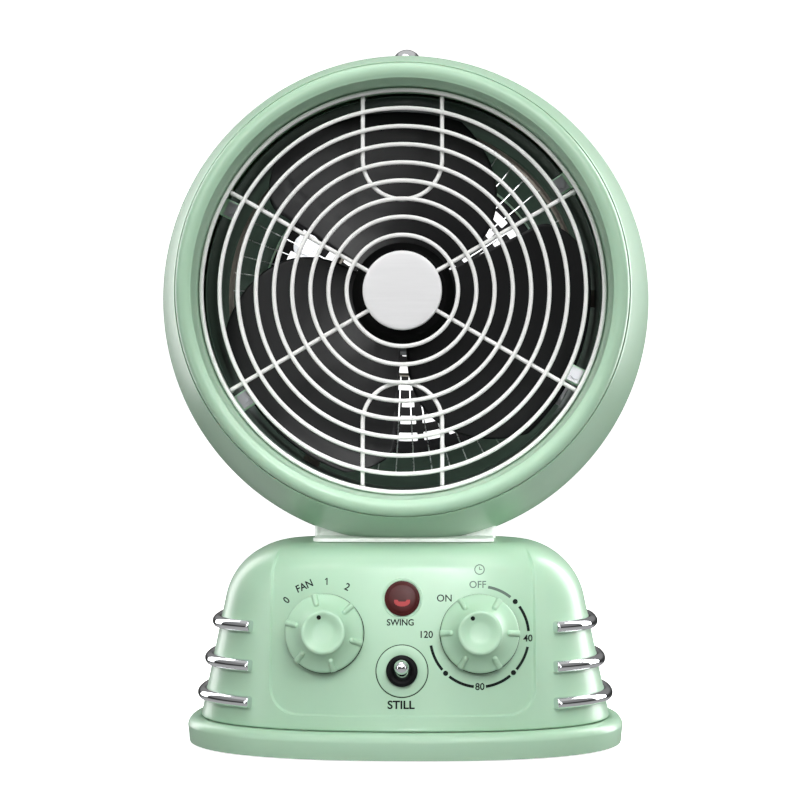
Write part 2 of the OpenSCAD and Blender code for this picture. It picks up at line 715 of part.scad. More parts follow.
// A place on the drum's crown at depth y, square to its surface
function dome_slope(u) =
    drum_r / drum_depth * pow(u, dome_n - 1) * pow(1 - pow(u, dome_n), 1 / dome_n - 1);
function drum_tilt(out) = out >= drum_wide
    ? -asin((out - drum_wide) / flank_round)
    : atan(dome_slope((drum_wide - out) / drum_depth));
module on_crown(y) translate([0, y, head_z + drum_at(-y, 0)]) rotate([-drum_tilt(-y), 0, 0])
    children();

// Side view of the strap's inner face, grown outwards by a thickness
module handle_outline(grow) {
    round_r = 13 + grow;
    top = handle_top - handle_t + grow;
    x0 = handle_front - grow;
    x1 = handle_back + grow;
    polygon(concat(
        [[x0, 300]],
        [for (t = [180 : -10 : 90]) [x0 + round_r + round_r * cos(t), top - round_r + round_r * sin(t)]],
        [for (t = [90 : -10 : 0]) [x1 - round_r + round_r * cos(t), top - round_r + round_r * sin(t)]],
        [[x1, 300]]));
}

module handle() color("#d5d8da") difference() {
    translate([-handle_w / 2, 0, 0]) rotate([90, 0, 90]) linear_extrude(handle_w) difference() {
        handle_outline(handle_t);
        handle_outline(0);
    }
    drum_solid(30);
    for (y = handle_screw_y) on_crown(y) cylinder(r = 1.92, h = 4);
}

module handle_screws() color(steel) for (y = handle_screw_y) on_crown(y)
    translate([0, 0, -wall - 0.15]) rotate([180, 0, 0]) pan_screw(3.4, 1.9, wall + 2);

// --- rotor ---

blade_rows = 8;
blade_cols = 14;
hub_front = 50;
hub_back = 19;

function lead_angle(r) = 27 - 15 * pow(max(0, (r - 84) / (tip_r - 84)), 2);
function trail_angle(r) = -88 + 40 * pow(max(0, (r - hub_r) / (tip_r - hub_r)), 2.2);
function blade_point(i, j, side) =
    let (r = hub_r - 0.8 + (tip_r - hub_r + 0.8) * j / blade_rows, u = i / blade_cols,
         t = lead_angle(r) + (trail_angle(r) - lead_angle(r)) * u,
         out = 44 - 19 * u - 3 * sin(180 * u) + side * blade_t / 2)
    [r * cos(t), r * sin(t), out];

// One pitched blade, its leading edge swept back and rounded at the tip
module blade() {
    n = blade_cols + 1;
    m = blade_rows + 1;
    half = n * m;
    points = [for (side = [-1, 1], j = [0 : m - 1], i = [0 : n - 1]) blade_point(i, j, side)];
    rim = concat([for (i = [0 : n - 1]) i], [for (j = [1 : m - 1]) j * n + n - 1],
        [for (i = [n - 2 : -1 : 0]) (m - 1) * n + i], [for (j = [m - 2 : -1 : 1]) j * n]);
    skins = [for (j = [0 : m - 2], i = [0 : n - 2])
        let (a = j * n + i, b = a + 1, c = a + n, d = c + 1)
        each [[a, b, d], [a, d, c], [half + a, half + d, half + b], [half + a, half + c, half + d]]];
    edge = [for (k = [0 : len(rim) - 1]) let (a = rim[k], b = rim[(k + 1) % len(rim)])
        each [[b, a, half + a], [b, half + a, half + b]]];
    polyhedron(points, concat(skins, edge));
}

module fan() color(dark) head_frame() difference() {
    union() {
        translate([0, 0, hub_back]) cylinder(r = hub_r, h = hub_front - hub_back);
        for (k = [0 : blade_count - 1]) rotate(120 * k) blade();
    }
    translate([0, 0, hub_back - 1]) cylinder(r = shaft_r + 0.02, h = 60);
    translate([0, 0, hub_back - 1]) tube(hub_r - 2.5, 9, 22);
}

module motor_shaft() color(steel) head_frame() translate([0, 0, motor_back + 5])
    cylinder(r = shaft_r, h = hub_front + 3 - motor_back - 5);

module fan_nut() color(steel) head_frame() translate([0, 0, hub_front + 0.05]) difference() {
    cylinder(r = 6, h = 3.4, $fn = 6);
    translate([0, 0, -1]) cylinder(r = shaft_r + 0.02, h = 6);
}

plinth();
base_housing();
bottom_plate();
rubber_feet();
bottom_screws();
trim_bars_left();
trim_bars_right();
lamp_lens();
lamp_holder();
switch_plate();
switch_bush();
toggle_switch();
mode_switch();
timer();
swivel_bearing();
swing_motor();
swing_bracket();
swing_screws();
cord_gland();
terminal_block();
tip_switch();
tip_plunger();
tip_spring();
mode_knob();
mode_spindle();
timer_knob();
timer_spindle();
toggle_lever();
swing_pinion();
neck();
neck_screws();
swivel_gear();
swivel_clip();
front_bezel();
drum_front();
drum_rear();
duct_liner();
rear_grille();
guard_rings();
guard_spokes();
guard_hub_plate();
guard_cap();
guard_clips();
guard_screws();
motor();
motor_end_bell();
motor_bracket();
motor_screws();
heater_frame();
heater_wires();
thermostat();
handle();
handle_screws();
fan();
motor_shaft();
fan_nut();
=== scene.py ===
"""Looks of the table fan heater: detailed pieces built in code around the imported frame."""
import json
import math

import bpy
import numpy as np
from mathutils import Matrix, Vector


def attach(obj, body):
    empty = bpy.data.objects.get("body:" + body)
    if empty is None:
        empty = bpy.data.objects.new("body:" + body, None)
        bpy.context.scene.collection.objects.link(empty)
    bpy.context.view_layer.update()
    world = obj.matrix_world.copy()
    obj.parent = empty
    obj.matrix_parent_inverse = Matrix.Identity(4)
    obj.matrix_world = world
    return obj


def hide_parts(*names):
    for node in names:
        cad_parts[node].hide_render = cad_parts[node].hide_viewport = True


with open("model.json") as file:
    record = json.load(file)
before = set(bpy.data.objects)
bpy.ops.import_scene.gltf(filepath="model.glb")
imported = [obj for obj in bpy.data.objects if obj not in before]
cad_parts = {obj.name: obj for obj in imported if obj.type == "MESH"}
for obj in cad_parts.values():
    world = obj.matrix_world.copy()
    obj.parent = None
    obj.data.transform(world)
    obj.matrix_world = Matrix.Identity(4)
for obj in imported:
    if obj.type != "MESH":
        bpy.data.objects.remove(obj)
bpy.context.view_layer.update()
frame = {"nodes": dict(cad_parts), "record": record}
scene = bpy.context.scene
MM = 0.001

# --- driving dimensions of the part's source, in millimetres and degrees ---

PLINTH_A, PLINTH_B, PLINTH_H, PLINTH_EDGE, PLAN_LOW = 126, 87, 15, 5, 2.4
BASE_A, BASE_B, BASE_TOP, SIDE_LEAN, FRONT_LEAN = 118.4, 78.5, 116, 12, 8
SIDE_ROUND, FRONT_ROUND, PLAN_HIGH, WALL = 39.6, 16, 3.2, 2.5
KNOB_X, KNOB_Z, KNOB_R, KNOB_H, TOGGLE_Z, LAMP_Z, LAMP_R = 42.5, 67.7, 21.5, 14, 47.6, 86.7, 10
TRIM_R, TRIM_HEIGHTS, TRIM_END_X = 3, (70, 48.5, 28.6), 85
HEAD_Z, DRUM_R, DRUM_WIDE, LIP_FRONT, DRUM_FLOOR = 256.2, 144.4, -34, 82, 118
BEAD_R, BEAD_ROUND, REAR_OPEN, BACK_OUT, PART_OUT = 119, 5.3, 86, -76, -9
RING_FIRST, RING_STEP, RING_COUNT, WIRE_R, GUARD_OUT = 30.8, 10.075, 9, 1.2, 65.6
CAP_R, BRACE_X, LINER_R, FLANK_ROUND, DRUM_DEPTH, DOME_N = 21.9, 22, 110.6, 325, 60, 2.6
TIP_R, HUB_R, HUB_FRONT, HUB_BACK, BLADE_T, SHAFT_R = 106, 29, 50, 19, 1.8, 3
HANDLE_W, HANDLE_T, HANDLE_TOP, HANDLE_FRONT, HANDLE_BACK = 15.5, 5.5, 413, 29, 55
LUG_OUT, CLIP_ANGLES = 53.1, (30, 150, 210, 330)


def sind(a):
    return math.sin(math.radians(a))


def cosd(a):
    return math.cos(math.radians(a))


def tand(a):
    return math.tan(math.radians(a))


# --- camera: in front, a little round to the right, looking slightly up ---

FOCAL, SENSOR, VIEW_TURN, VIEW_LIFT = 83.34, 36, 1.6, 1.55
VIEW_SIDE, VIEW_AWAY, VIEW_HEIGHT = -0.0031, 1.087, 0.168

camera = bpy.data.objects.new("Camera", bpy.data.cameras.new("Camera"))
scene.collection.objects.link(camera)
camera.data.lens = FOCAL
camera.data.sensor_width = SENSOR
camera.data.clip_end = 20
camera.location = (VIEW_SIDE * cosd(VIEW_TURN) + VIEW_AWAY * sind(VIEW_TURN),
                   VIEW_SIDE * sind(VIEW_TURN) - VIEW_AWAY * cosd(VIEW_TURN), VIEW_HEIGHT)
camera.rotation_euler = (math.radians(90 + VIEW_LIFT), 0, math.radians(VIEW_TURN))
scene.camera = camera

# --- materials ---


def srgb(*c):
    """Linear colour from 8-bit red, green and blue."""
    return tuple(((v / 255 + 0.055) / 1.055) ** 2.4 if v > 10 else v / 255 / 12.92
                 for v in c) + (1,)


def set_inputs(node, values):
    for key, value in values.items():
        node.inputs[key].default_value = value


def new_node(tree, kind, values=()):
    node = tree.nodes.new("ShaderNode" + kind)
    set_inputs(node, dict(values))
    return node


def join(source, output, target, entry):
    source.id_data.links.new(source.outputs[output], target.inputs[entry])


MATERIALS = {}


def material(name, colour, rough, metallic=0.0, vary=0.04, grain=900, bump=0.03, rough_vary=0.06,
             coat=0.0, stretch=(1, 1, 1), cloud=35, sub=0.0, shine=0.5, glow=0.0,
             glow_colour=(1, 1, 1, 1)):
    """A surface with fine grain in its bump, cloudy roughness and a little colour drift."""
    mat = bpy.data.materials.new(name)
    mat.use_nodes = True
    tree = mat.node_tree
    bsdf = tree.nodes["Principled BSDF"]
    set_inputs(bsdf, {"Metallic": metallic, "IOR": 1.46, "Specular IOR Level": shine,
                      "Coat Weight": coat, "Coat Roughness": 0.12, "Subsurface Weight": sub,
                      "Subsurface Scale": 0.004, "Emission Color": glow_colour,
                      "Emission Strength": glow})
    stretched = new_node(tree, "Mapping", {"Scale": stretch})
    clouds = new_node(tree, "TexNoise", {"Scale": cloud, "Detail": 4})
    fine = new_node(tree, "TexNoise", {"Scale": grain, "Detail": 3})
    ramp = new_node(tree, "ValToRGB")
    spread = new_node(tree, "MapRange", {"To Min": max(0.02, rough - rough_vary),
                                         "To Max": rough + rough_vary})
    raised = new_node(tree, "Bump", {"Strength": bump, "Distance": 0.0004})
    for stop, place, tone in zip(ramp.color_ramp.elements, (0.3, 0.7), (1 - vary, 1 + vary)):
        stop.position = place
        stop.color = (*(min(1, c * tone) for c in colour[:3]), 1)
    join(new_node(tree, "TexCoord"), "Object", stretched, "Vector")
    join(stretched, "Vector", clouds, "Vector")
    join(stretched, "Vector", fine, "Vector")
    join(clouds, "Fac", ramp, "Fac")
    join(ramp, "Color", bsdf, "Base Color")
    join(fine, "Fac", spread, "Value")
    join(spread, "Result", bsdf, "Roughness")
    join(fine, "Fac", raised, "Height")
    join(raised, "Normal", bsdf, "Normal")
    MATERIALS[name] = mat
    return mat


material("mint_plastic", srgb(166, 201, 173), 0.36, vary=0.015, grain=1400, bump=0.025,
         rough_vary=0.05, coat=0.15, sub=0.04)
# white_plastic's glow is painted light: a faint self-glow that brightens the neck in the shade
# under the drum
material("white_plastic", srgb(246, 249, 246), 0.38, vary=0.012, grain=1300, bump=0.03, glow=0.1,
         glow_colour=srgb(240, 247, 241))
material("black_plastic", srgb(12, 12, 14), 0.36, vary=0.12, grain=1100, bump=0.06, shine=0.14)
material("blade_plastic", srgb(20, 20, 22), 0.36, vary=0.1, grain=1500, bump=0.05, shine=0.4)
material("grey_plastic", srgb(92, 95, 99), 0.5, vary=0.05, bump=0.08)
material("nylon", srgb(224, 222, 212), 0.45, vary=0.03, bump=0.06, sub=0.1)
material("rubber", srgb(36, 36, 37), 0.75, vary=0.1, grain=700, bump=0.2)
material("chrome", srgb(226, 228, 230), 0.07, metallic=1, vary=0.01, bump=0.006, rough_vary=0.025)
material("steel", srgb(176, 178, 181), 0.32, metallic=1, vary=0.05, grain=600, bump=0.05)
material("duct_steel", srgb(58, 76, 65), 0.45, metallic=0.3, vary=0.12, grain=260, bump=0.06,
         stretch=(1, 6, 1))
material("wire_enamel", srgb(243, 243, 241), 0.28, vary=0.015, grain=1500, bump=0.03, coat=0.3)
material("cap_silver", srgb(228, 228, 229), 0.5, metallic=0.25, vary=0.02, grain=500, bump=0.03,
         stretch=(1, 1, 14))
material("motor_metal", srgb(118, 121, 125), 0.42, metallic=0.9, vary=0.07, grain=400, bump=0.08)
material("mica", srgb(128, 122, 112), 0.5, vary=0.2, grain=320, bump=0.2, cloud=120)
material("heater_alloy", srgb(205, 207, 208), 0.28, metallic=1, vary=0.04)
material("red_lens", srgb(66, 15, 15), 0.42, vary=0.15, grain=500, bump=0.03, cloud=160,
         shine=0.3)

# looks of single pieces that differ from their slot's own
STRAP = material("strap_chrome", srgb(236, 237, 239), 0.12, metallic=1, vary=0.01, bump=0.008)
HUB = material("hub_black", srgb(10, 10, 11), 0.6, vary=0.1, grain=1200, bump=0.06, shine=0.12)
# dark ink for the print and the knob dots; the same dark also paints the shade in the rings under
# the knobs and round the switch disc
DARK_INK_AND_SHADE = material("dark_ink_and_shade", srgb(14, 24, 20), 0.5, vary=0.08, grain=1600, bump=0.04, shine=0.15)
INK_SOFT = material("soft_ink", srgb(84, 104, 92), 0.5, vary=0.06, grain=1600, bump=0.04)
GLOW = material("lamp_glow", srgb(150, 26, 30), 0.4, vary=0.1, grain=900, bump=0.02, glow=0.03,
                glow_colour=srgb(235, 40, 44))

NODE_SLOT = {p["node"]: p["material_slot"] for p in frame["record"]["subparts"]}

# --- mesh helpers ---


def mesh_object(name, verts, faces, mat):
    """A smooth-shaded object given in metres."""
    mesh = bpy.data.meshes.new(name)
    mesh.from_pydata(verts, [], faces)
    mesh.validate()
    mesh.shade_smooth()
    mesh.materials.append(mat)
    obj = bpy.data.objects.new(name, mesh)
    scene.collection.objects.link(obj)
    return obj


def piece(name, verts, faces, body, slot, mat=None, replaces=(), sharp=38):
    """A piece of the object given in millimetres, crisp at edges over the sharp angle."""
    obj = mesh_object(name, (np.asarray(verts, float) * MM).tolist(),
                      [list(map(int, f)) for f in faces], mat or MATERIALS[slot])
    obj.data.set_sharp_from_angle(angle=math.radians(sharp))
    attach(obj, body)
    if replaces:
        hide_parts(*replaces)


class Build:
    """Collects shells of vertices and faces into one mesh."""

    def __init__(self):
        self.verts, self.faces = [], []

    def add(self, verts, faces):
        start = sum(len(v) for v in self.verts)
        self.verts.append(np.asarray(verts, float))
        self.faces += [[i + start for i in f] for f in faces]
        return self

    def make(self, name, body, slot, place=None, **more):
        verts = np.concatenate(self.verts)
        piece(name, place(verts) if place else verts, self.faces, body, slot, **more)


def grid_faces(rows, cols, wrap_rows=False, wrap_cols=True):
    """Quads of a grid of points stored row by row."""
    faces = []
    for j in range(rows if wrap_rows else rows - 1):
        a, b = j * cols, (j + 1) % rows * cols
        for i in range(cols if wrap_cols else cols - 1):
            k = (i + 1) % cols
            faces.append((a + i, a + k, b + k, b + i))
    return faces


def end_caps(rows, cols):
    """Two n-gons that close a grid at its first and last row."""
    return [tuple(range(cols - 1, -1, -1)), tuple(range((rows - 1) * cols, rows * cols))]


def rounded(points, radii, steps=5):
    """The outline with each corner turned into an arc of its radius."""
    out, n = [], len(points)
    for i, p in enumerate(points):
        r = radii[i] if isinstance(radii, (list, tuple)) else radii
        if r <= 0:
            out.append(tuple(p))
            continue
        p = np.array(p, float)
        before, after = np.array(points[i - 1], float) - p, np.array(points[(i + 1) % n], float) - p
        la, lb = np.linalg.norm(before), np.linalg.norm(after)
        before, after = before / la, after / lb
        angle = math.acos(max(-1, min(1, float(before @ after))))
        if angle > math.radians(178):
            out.append(tuple(p))
            continue
        cut = min(r / math.tan(angle / 2), 0.48 * la, 0.48 * lb)
        true_r = cut * math.tan(angle / 2)
        middle = (before + after) / np.linalg.norm(before + after)
        centre = p + middle * true_r / math.sin(angle / 2)
        a, b = p + before * cut - centre, p + after * cut - centre
        turn = math.pi - angle
        for s in range(steps + 1):
            t = s / steps
            w = (math.sin((1 - t) * turn) * a + math.sin(t * turn) * b) / math.sin(turn)
            out.append(tuple(centre + w))
    return out


def rectangle(x0, x1, y0, y1, radii=0, steps=5):
    """A rounded rectangle, or a tube's section, from its corner at (x0, y0)."""
    return rounded([(x0, y0), (x1, y0), (x1, y1), (x0, y1)], radii, steps)


def revolve(profile, n=192, closed=True):
    """Points (radius, out) turned round the out axis: a closed loop, or a line between poles."""
    angles = np.arange(n) * 2 * math.pi / n
    verts, rows = [], []
    for r, out in profile:
        if r < 1e-6:
            rows.append([len(verts)])
            verts.append((0, 0, out))
        else:
            rows.append(list(range(len(verts), len(verts) + n)))
            verts += [(r * math.cos(a), r * math.sin(a), out) for a in angles]
    faces = []
    for j in range(len(rows) if closed else len(rows) - 1):
        a, b = rows[j], rows[(j + 1) % len(rows)]
        for i in range(n):
            k = (i + 1) % n
            if len(a) > 1 and len(b) > 1:
                faces.append((a[i], b[i], b[k], a[k]))
            elif len(a) > 1:
                faces.append((a[i], b[0], a[k]))
            elif len(b) > 1:
                faces.append((a[0], b[i], b[k]))
    return np.array(verts, float), faces


def arc(x, y, rx, ry, angles):
    """Points at the angles, in degrees, of a circle or ellipse round (x, y)."""
    return [(x + rx * cosd(t), y + ry * sind(t)) for t in angles]


def circle(r, n, x=0.0, y=0.0):
    return arc(x, y, r, r, [360 * k / n for k in range(n)])


def sweep(path, section, up, scales=None, closed=False):
    """A section (side, up) carried along a path, with its up direction kept near the one given."""
    path = np.asarray(path, float)
    m = len(path)
    verts = []
    normal = np.array(up, float)
    for i in range(m):
        if closed:
            tangent = path[(i + 1) % m] - path[i - 1]
        else:
            tangent = path[min(i + 1, m - 1)] - path[max(i - 1, 0)]
        tangent = tangent / np.linalg.norm(tangent)
        normal = normal - (normal @ tangent) * tangent
        normal = normal / np.linalg.norm(normal)
        side = np.cross(tangent, normal)
        scale = scales[i] if scales else 1
        verts += [path[i] + scale * (s * side + u * normal) for s, u in section]
    n = len(section)
    faces = grid_faces(m, n, wrap_rows=closed)
    if not closed:
        faces += end_caps(m, n)
    return np.array(verts), faces


def round_ended(path, r, edge, steps=4):
    """Path and scales that give a swept rod of radius r ends with a rounded edge."""
    path = np.asarray(path, float)
    first = (path[0] - path[1]) / np.linalg.norm(path[0] - path[1])
    last = (path[-1] - path[-2]) / np.linalg.norm(path[-1] - path[-2])
    offsets = [edge * sind(90 * k / steps) for k in range(steps + 1)]
    scales = [1 - edge * (1 - cosd(90 * k / steps)) / r for k in range(steps + 1)]
    start = [path[0] + first * o for o in offsets[:0:-1]]
    finish = [path[-1] + last * o for o in offsets[1:]]
    return (np.array(start + list(path) + finish),
            scales[:0:-1] + [1] * len(path) + scales[1:])


def head_place(verts):
    """From the head's front view (right, up, out) to the frame."""
    v = np.asarray(verts, float)
    return np.stack([v[:, 0], -v[:, 2], v[:, 1] + HEAD_Z], 1)


def panel_place(verts, x, z):
    """From a view square to the control panel at (x, z) to the frame."""
    v = np.asarray(verts, float)
    c, s = cosd(FRONT_LEAN), sind(FRONT_LEAN)
    return np.stack([x + v[:, 0], front_y(z) + v[:, 1] * s - v[:, 2] * c,
                     z + v[:, 1] * c + v[:, 2] * s], 1)


def turned(verts, degrees):
    v = np.array(verts, float)
    c, s = cosd(degrees), sind(degrees)
    return np.stack([v[:, 0] * c - v[:, 1] * s, v[:, 0] * s + v[:, 1] * c, v[:, 2]], 1)


# --- the base's surface ---


def half_at(z, half, lean, r, top):
    tangent = top - r * (1 - sind(lean))
    if z <= tangent:
        return half - tand(lean) * (z - PLINTH_H)
    flat = half - tand(lean) * (tangent - PLINTH_H) - r * cosd(lean)
    return flat + math.sqrt(max(0, r * r - (z - top + r) ** 2))


def ring_at(z, inset=0.0):
    """Half width, half depth and exponent of the housing's outline at height z."""
    top = BASE_TOP - inset
    return (half_at(z, BASE_A - inset, SIDE_LEAN, SIDE_ROUND - inset, top),
            half_at(z, BASE_B - inset, FRONT_LEAN, FRONT_ROUND - inset, top),
            PLAN_LOW + (PLAN_HIGH - PLAN_LOW) * (z - PLINTH_H) / (BASE_TOP - PLINTH_H))


def front_y(z):
    return -half_at(z, BASE_B, FRONT_LEAN, FRONT_ROUND, BASE_TOP)


def outline_point(a, b, n, t):
    """Point of the superellipse at parameter t degrees, 0 along +X and 90 along -Y."""
    c, s = cosd(t), sind(t)
    return (math.copysign(a * abs(c) ** (2 / n), c), -math.copysign(b * abs(s) ** (2 / n), s))


def surface_y(x, z):
    """The housing's front surface at (x, z)."""
    a, b, n = ring_at(z)
    return -b * (1 - min(1, abs(x) / a) ** n) ** (1 / n)


PANEL_X, PANEL_LOW, PANEL_CORNER, PANEL_DEPTH, PANEL_LIP = 73.5, 23, 14.7, 1.5, 0.9
PANEL_TOP_X, PANEL_TURN_Z, PANEL_FADE = 67.5, 98, (107.0, 114.5)


def panel_half(z):
    """Half width of the recessed panel at height z."""
    if z >= PANEL_TURN_Z:
        t = min(1, (z - PANEL_TURN_Z) / (BASE_TOP - PANEL_TURN_Z))
        return PANEL_X - (PANEL_X - PANEL_TOP_X) * t ** 2
    if z < PANEL_LOW + PANEL_CORNER:
        d = PANEL_LOW + PANEL_CORNER - max(z, PANEL_LOW)
        return PANEL_X - PANEL_CORNER + math.sqrt(max(0, PANEL_CORNER ** 2 - d * d))
    return PANEL_X


def panel_inside(x, z):
    """Distance inside the panel's outline, negative outside."""
    side = (panel_half(z) if z >= PANEL_TURN_Z else PANEL_X) - abs(x)
    low = z - PANEL_LOW
    if side < PANEL_CORNER and low < PANEL_CORNER:
        return PANEL_CORNER - math.hypot(PANEL_CORNER - side, PANEL_CORNER - low)
    return min(side, low)


def smooth(t):
    t = max(0.0, min(1.0, t))
    return t * t * (3 - 2 * t)


def panel_recess(x, z):
    fade = 1 - smooth((z - PANEL_FADE[0]) / (PANEL_FADE[1] - PANEL_FADE[0]))
    return PANEL_DEPTH * smooth(panel_inside(x, z) / PANEL_LIP) * fade


# --- base housing ---

SWIVEL_HOLE, ROD_R, ROD_OUT = 22, TRIM_R + 0.4, 1.4


def housing_columns(z, a, n):
    """Parameters t of one row, so that column lines follow the panel's edge."""
    edge = panel_half(z)
    inner = [edge * k / 26 for k in range(23)]
    inner += [edge * 22 / 26 + (edge * 4 / 26 - 2.0) * k / 4 for k in range(1, 5)]
    inner += [edge - 2.0 + 0.25 * k for k in range(1, 13)]
    ts = [math.degrees(math.acos(min(1, x / a) ** (n / 2))) for x in inner]
    return ts + [ts[-1] * (1 - (k / 46) ** 1.15) for k in range(1, 47)]


def full_turn(ts):
    """The whole outline, from its right front quarter: then round the back and the left."""
    return ts + [-1.5 * k for k in range(1, 121)] + [-180 - t for t in reversed(ts[1:-1])]


def base_row(z, inset=0.0, out=0.0):
    a, b, n = ring_at(z, inset)
    ts = full_turn(housing_columns(z, a, n))
    return [(*outline_point(a + out, b + out, n, t), z) for t in ts]


def outward(grid):
    """Unit normals away from the middle, of rows of points that run round the housing."""
    along = np.roll(grid, -1, 1) - np.roll(grid, 1, 1)
    normal = np.cross(np.gradient(grid, axis=0), along)
    normal = normal / np.maximum(np.linalg.norm(normal, axis=2, keepdims=True), 1e-9)
    return normal * np.sign((normal * (grid - [0, 0, BASE_TOP / 2])).sum(2, keepdims=True))


def housing():
    """A shell with its panel pushed in along the normals, and a boss behind each dial."""
    low = PLINTH_H + 0.1
    shoulder = [BASE_TOP - SIDE_ROUND * (1 - sind(SIDE_LEAN + (90 - SIDE_LEAN) * k / 34))
                for k in range(35)]
    zs = [low + 1.0, 17.5, 19.5, 21.2] + [22 + 0.25 * k for k in range(12)]
    zs += [25 + 0.8 * k for k in range(1, 17)] + [38 + 3.3 * k for k in range(1, 15)]
    zs = [z for z in zs if z < shoulder[0] - 0.5] + shoulder
    rows = [base_row(low + up, out=-under) for up, under in ((0, 0.7), (0.2, 0.35), (0.5, 0.1))]
    outer = np.array(rows + [base_row(z) for z in zs])
    depth = np.array([[panel_recess(x, z) if y < 0 else 0 for x, y, z in row] for row in outer])
    outer = outer - outward(outer) * depth[:, :, None]
    rings, edge = list(outer), outer[-1]
    radius = np.hypot(edge[:, 0], edge[:, 1])[:, None]
    for k in range(1, 9):
        scale = 1 + (SWIVEL_HOLE / radius - 1) * k / 8
        rings.append(np.hstack([edge[:, :2] * scale, np.full_like(radius, BASE_TOP)]))
    rings.append(rings[-1] - [0, 0, WALL])
    rings += [np.array(base_row(z * (BASE_TOP - WALL) / BASE_TOP, WALL))
              for z in shoulder[::-3] + [60, 38]]
    rings.append(np.array(base_row(low, WALL)))
    build = Build().add(np.concatenate(rings), grid_faces(len(rings), len(edge), wrap_rows=True))
    boss_hole, boss_r, boss_back, boss_front = 5.2, 19.5, -7, 0.05
    for x in (-KNOB_X, KNOB_X):
        boss, faces = revolve(rectangle(boss_hole, boss_r, boss_back, boss_front,
                                        [0, 0, 0.6, 0]), 96)
        build.add(panel_place(boss, x, KNOB_Z), faces)
    build.make("housing_shell", "base", "mint_plastic", replaces=["base_housing"], sharp=60)


def oval(a, b, z):
    return [(*outline_point(a, b, PLAN_LOW, 1.25 * i), z) for i in range(288)]


def plinth():
    """The rounded foot: its outside, the ledge that takes the housing, and its inside."""
    outside = [(0.6, -1.6), (0.8, -1.1), (1.5, -0.9), (6, -0.5)]
    outside += [(PLINTH_H - PLINTH_EDGE * (1 - sind(t)), -PLINTH_EDGE * (1 - cosd(t)))
                for t in range(0, 91, 6)]
    ledge = [(PLINTH_H, 0.6), (PLINTH_H - 0.35, 0.2), (PLINTH_H - 0.6, -0.4),
             (PLINTH_H - 0.6, -8), (PLINTH_H - WALL, -8)]
    inside = [(PLINTH_H - WALL, -PLINTH_EDGE - 0.5), (8, -WALL - 1.5), (0.6, -WALL - 1.5)]
    rings = [oval(PLINTH_A + out, PLINTH_B + out, z) for z, out in outside]
    rings += [oval(BASE_A + out, BASE_B + out, z) for z, out in ledge]
    rings += [oval(PLINTH_A + out, PLINTH_B + out, z) for z, out in inside]
    piece("foot_moulding", np.array(rings).reshape(-1, 3),
          grid_faces(len(rings), len(rings[0]), wrap_rows=True), "base", "mint_plastic",
          replaces=["plinth"], sharp=50)


def trim(side, name, node):
    """Three bright rods that hug one side of the housing."""
    build = Build()
    for z in TRIM_HEIGHTS:
        a, b, n = ring_at(z)
        a, b = a + ROD_OUT, b + ROD_OUT
        reach = math.degrees(math.acos((TRIM_END_X / a) ** (n / 2)))
        path = []
        for k in range(91):
            x, y = outline_point(a, b, n, -reach + 2 * reach * k / 90)
            path.append((side * x, y, z))
        path, scales = round_ended(path, ROD_R, 1.0)
        build.add(*sweep(path, circle(ROD_R, 28), (0, 0, 1), scales))
    build.make(name, "base", "chrome", replaces=[node])


housing()
plinth()
trim(-1, "trim_rods_left", "trim_bars_left")
trim(1, "trim_rods_right", "trim_bars_right")

# --- controls ---

PANEL_FACE = -PANEL_DEPTH
KNOB_RIM, RIDGE_R, RIDGE_RISE = 10.9, 1.75, 1.7


def knob_dish(r):
    """Height of the knob's dished face at radius r."""
    return (KNOB_H - 1.55 * smooth((KNOB_RIM - 0.4 - r) / 5.5)
            - 0.95 * (1 - (r / KNOB_RIM) ** 2))


def raise_ridges(verts, low, high, turn):
    """Pushes six finger ridges out of a knob's flank, which runs from low to high."""
    flank = (high - low) / np.linalg.norm(high - low)
    outward_of_flank = np.array([flank[1], -flank[0]])
    angle = np.degrees(np.arctan2(verts[:, 1], verts[:, 0]))
    radius = np.hypot(verts[:, 0], verts[:, 1])
    along = (radius - low[0]) * flank[0] + (verts[:, 2] - low[1]) * flank[1]
    over = np.maximum(0, np.maximum(along - 6.3, -0.6 - along))
    width = RIDGE_R * (1.0 - 0.22 * np.clip(along / 7, 0, 1))
    rise = np.zeros(len(verts))
    for k in range(6):
        off = (angle - (45 + 60 * k + turn) + 180) % 360 - 180
        d = np.hypot(radius * np.sin(np.radians(off)), over) / width
        ridge = np.sqrt(np.maximum(0, 1 - d ** 2)) * RIDGE_RISE
        rise = np.where(np.abs(off) < 20, np.maximum(rise, ridge), rise)
    rise = np.where((radius > KNOB_RIM + 1.0) & (verts[:, 2] > 1.3), rise, 0)
    shift = rise[:, None] * outward_of_flank
    new_radius = np.minimum(radius + shift[:, 0], KNOB_R + 0.25)
    ratio = np.where(radius > 1e-6, new_radius / np.maximum(radius, 1e-6), 1)
    return np.stack([verts[:, 0] * ratio, verts[:, 1] * ratio, verts[:, 2] + shift[:, 1]], 1)


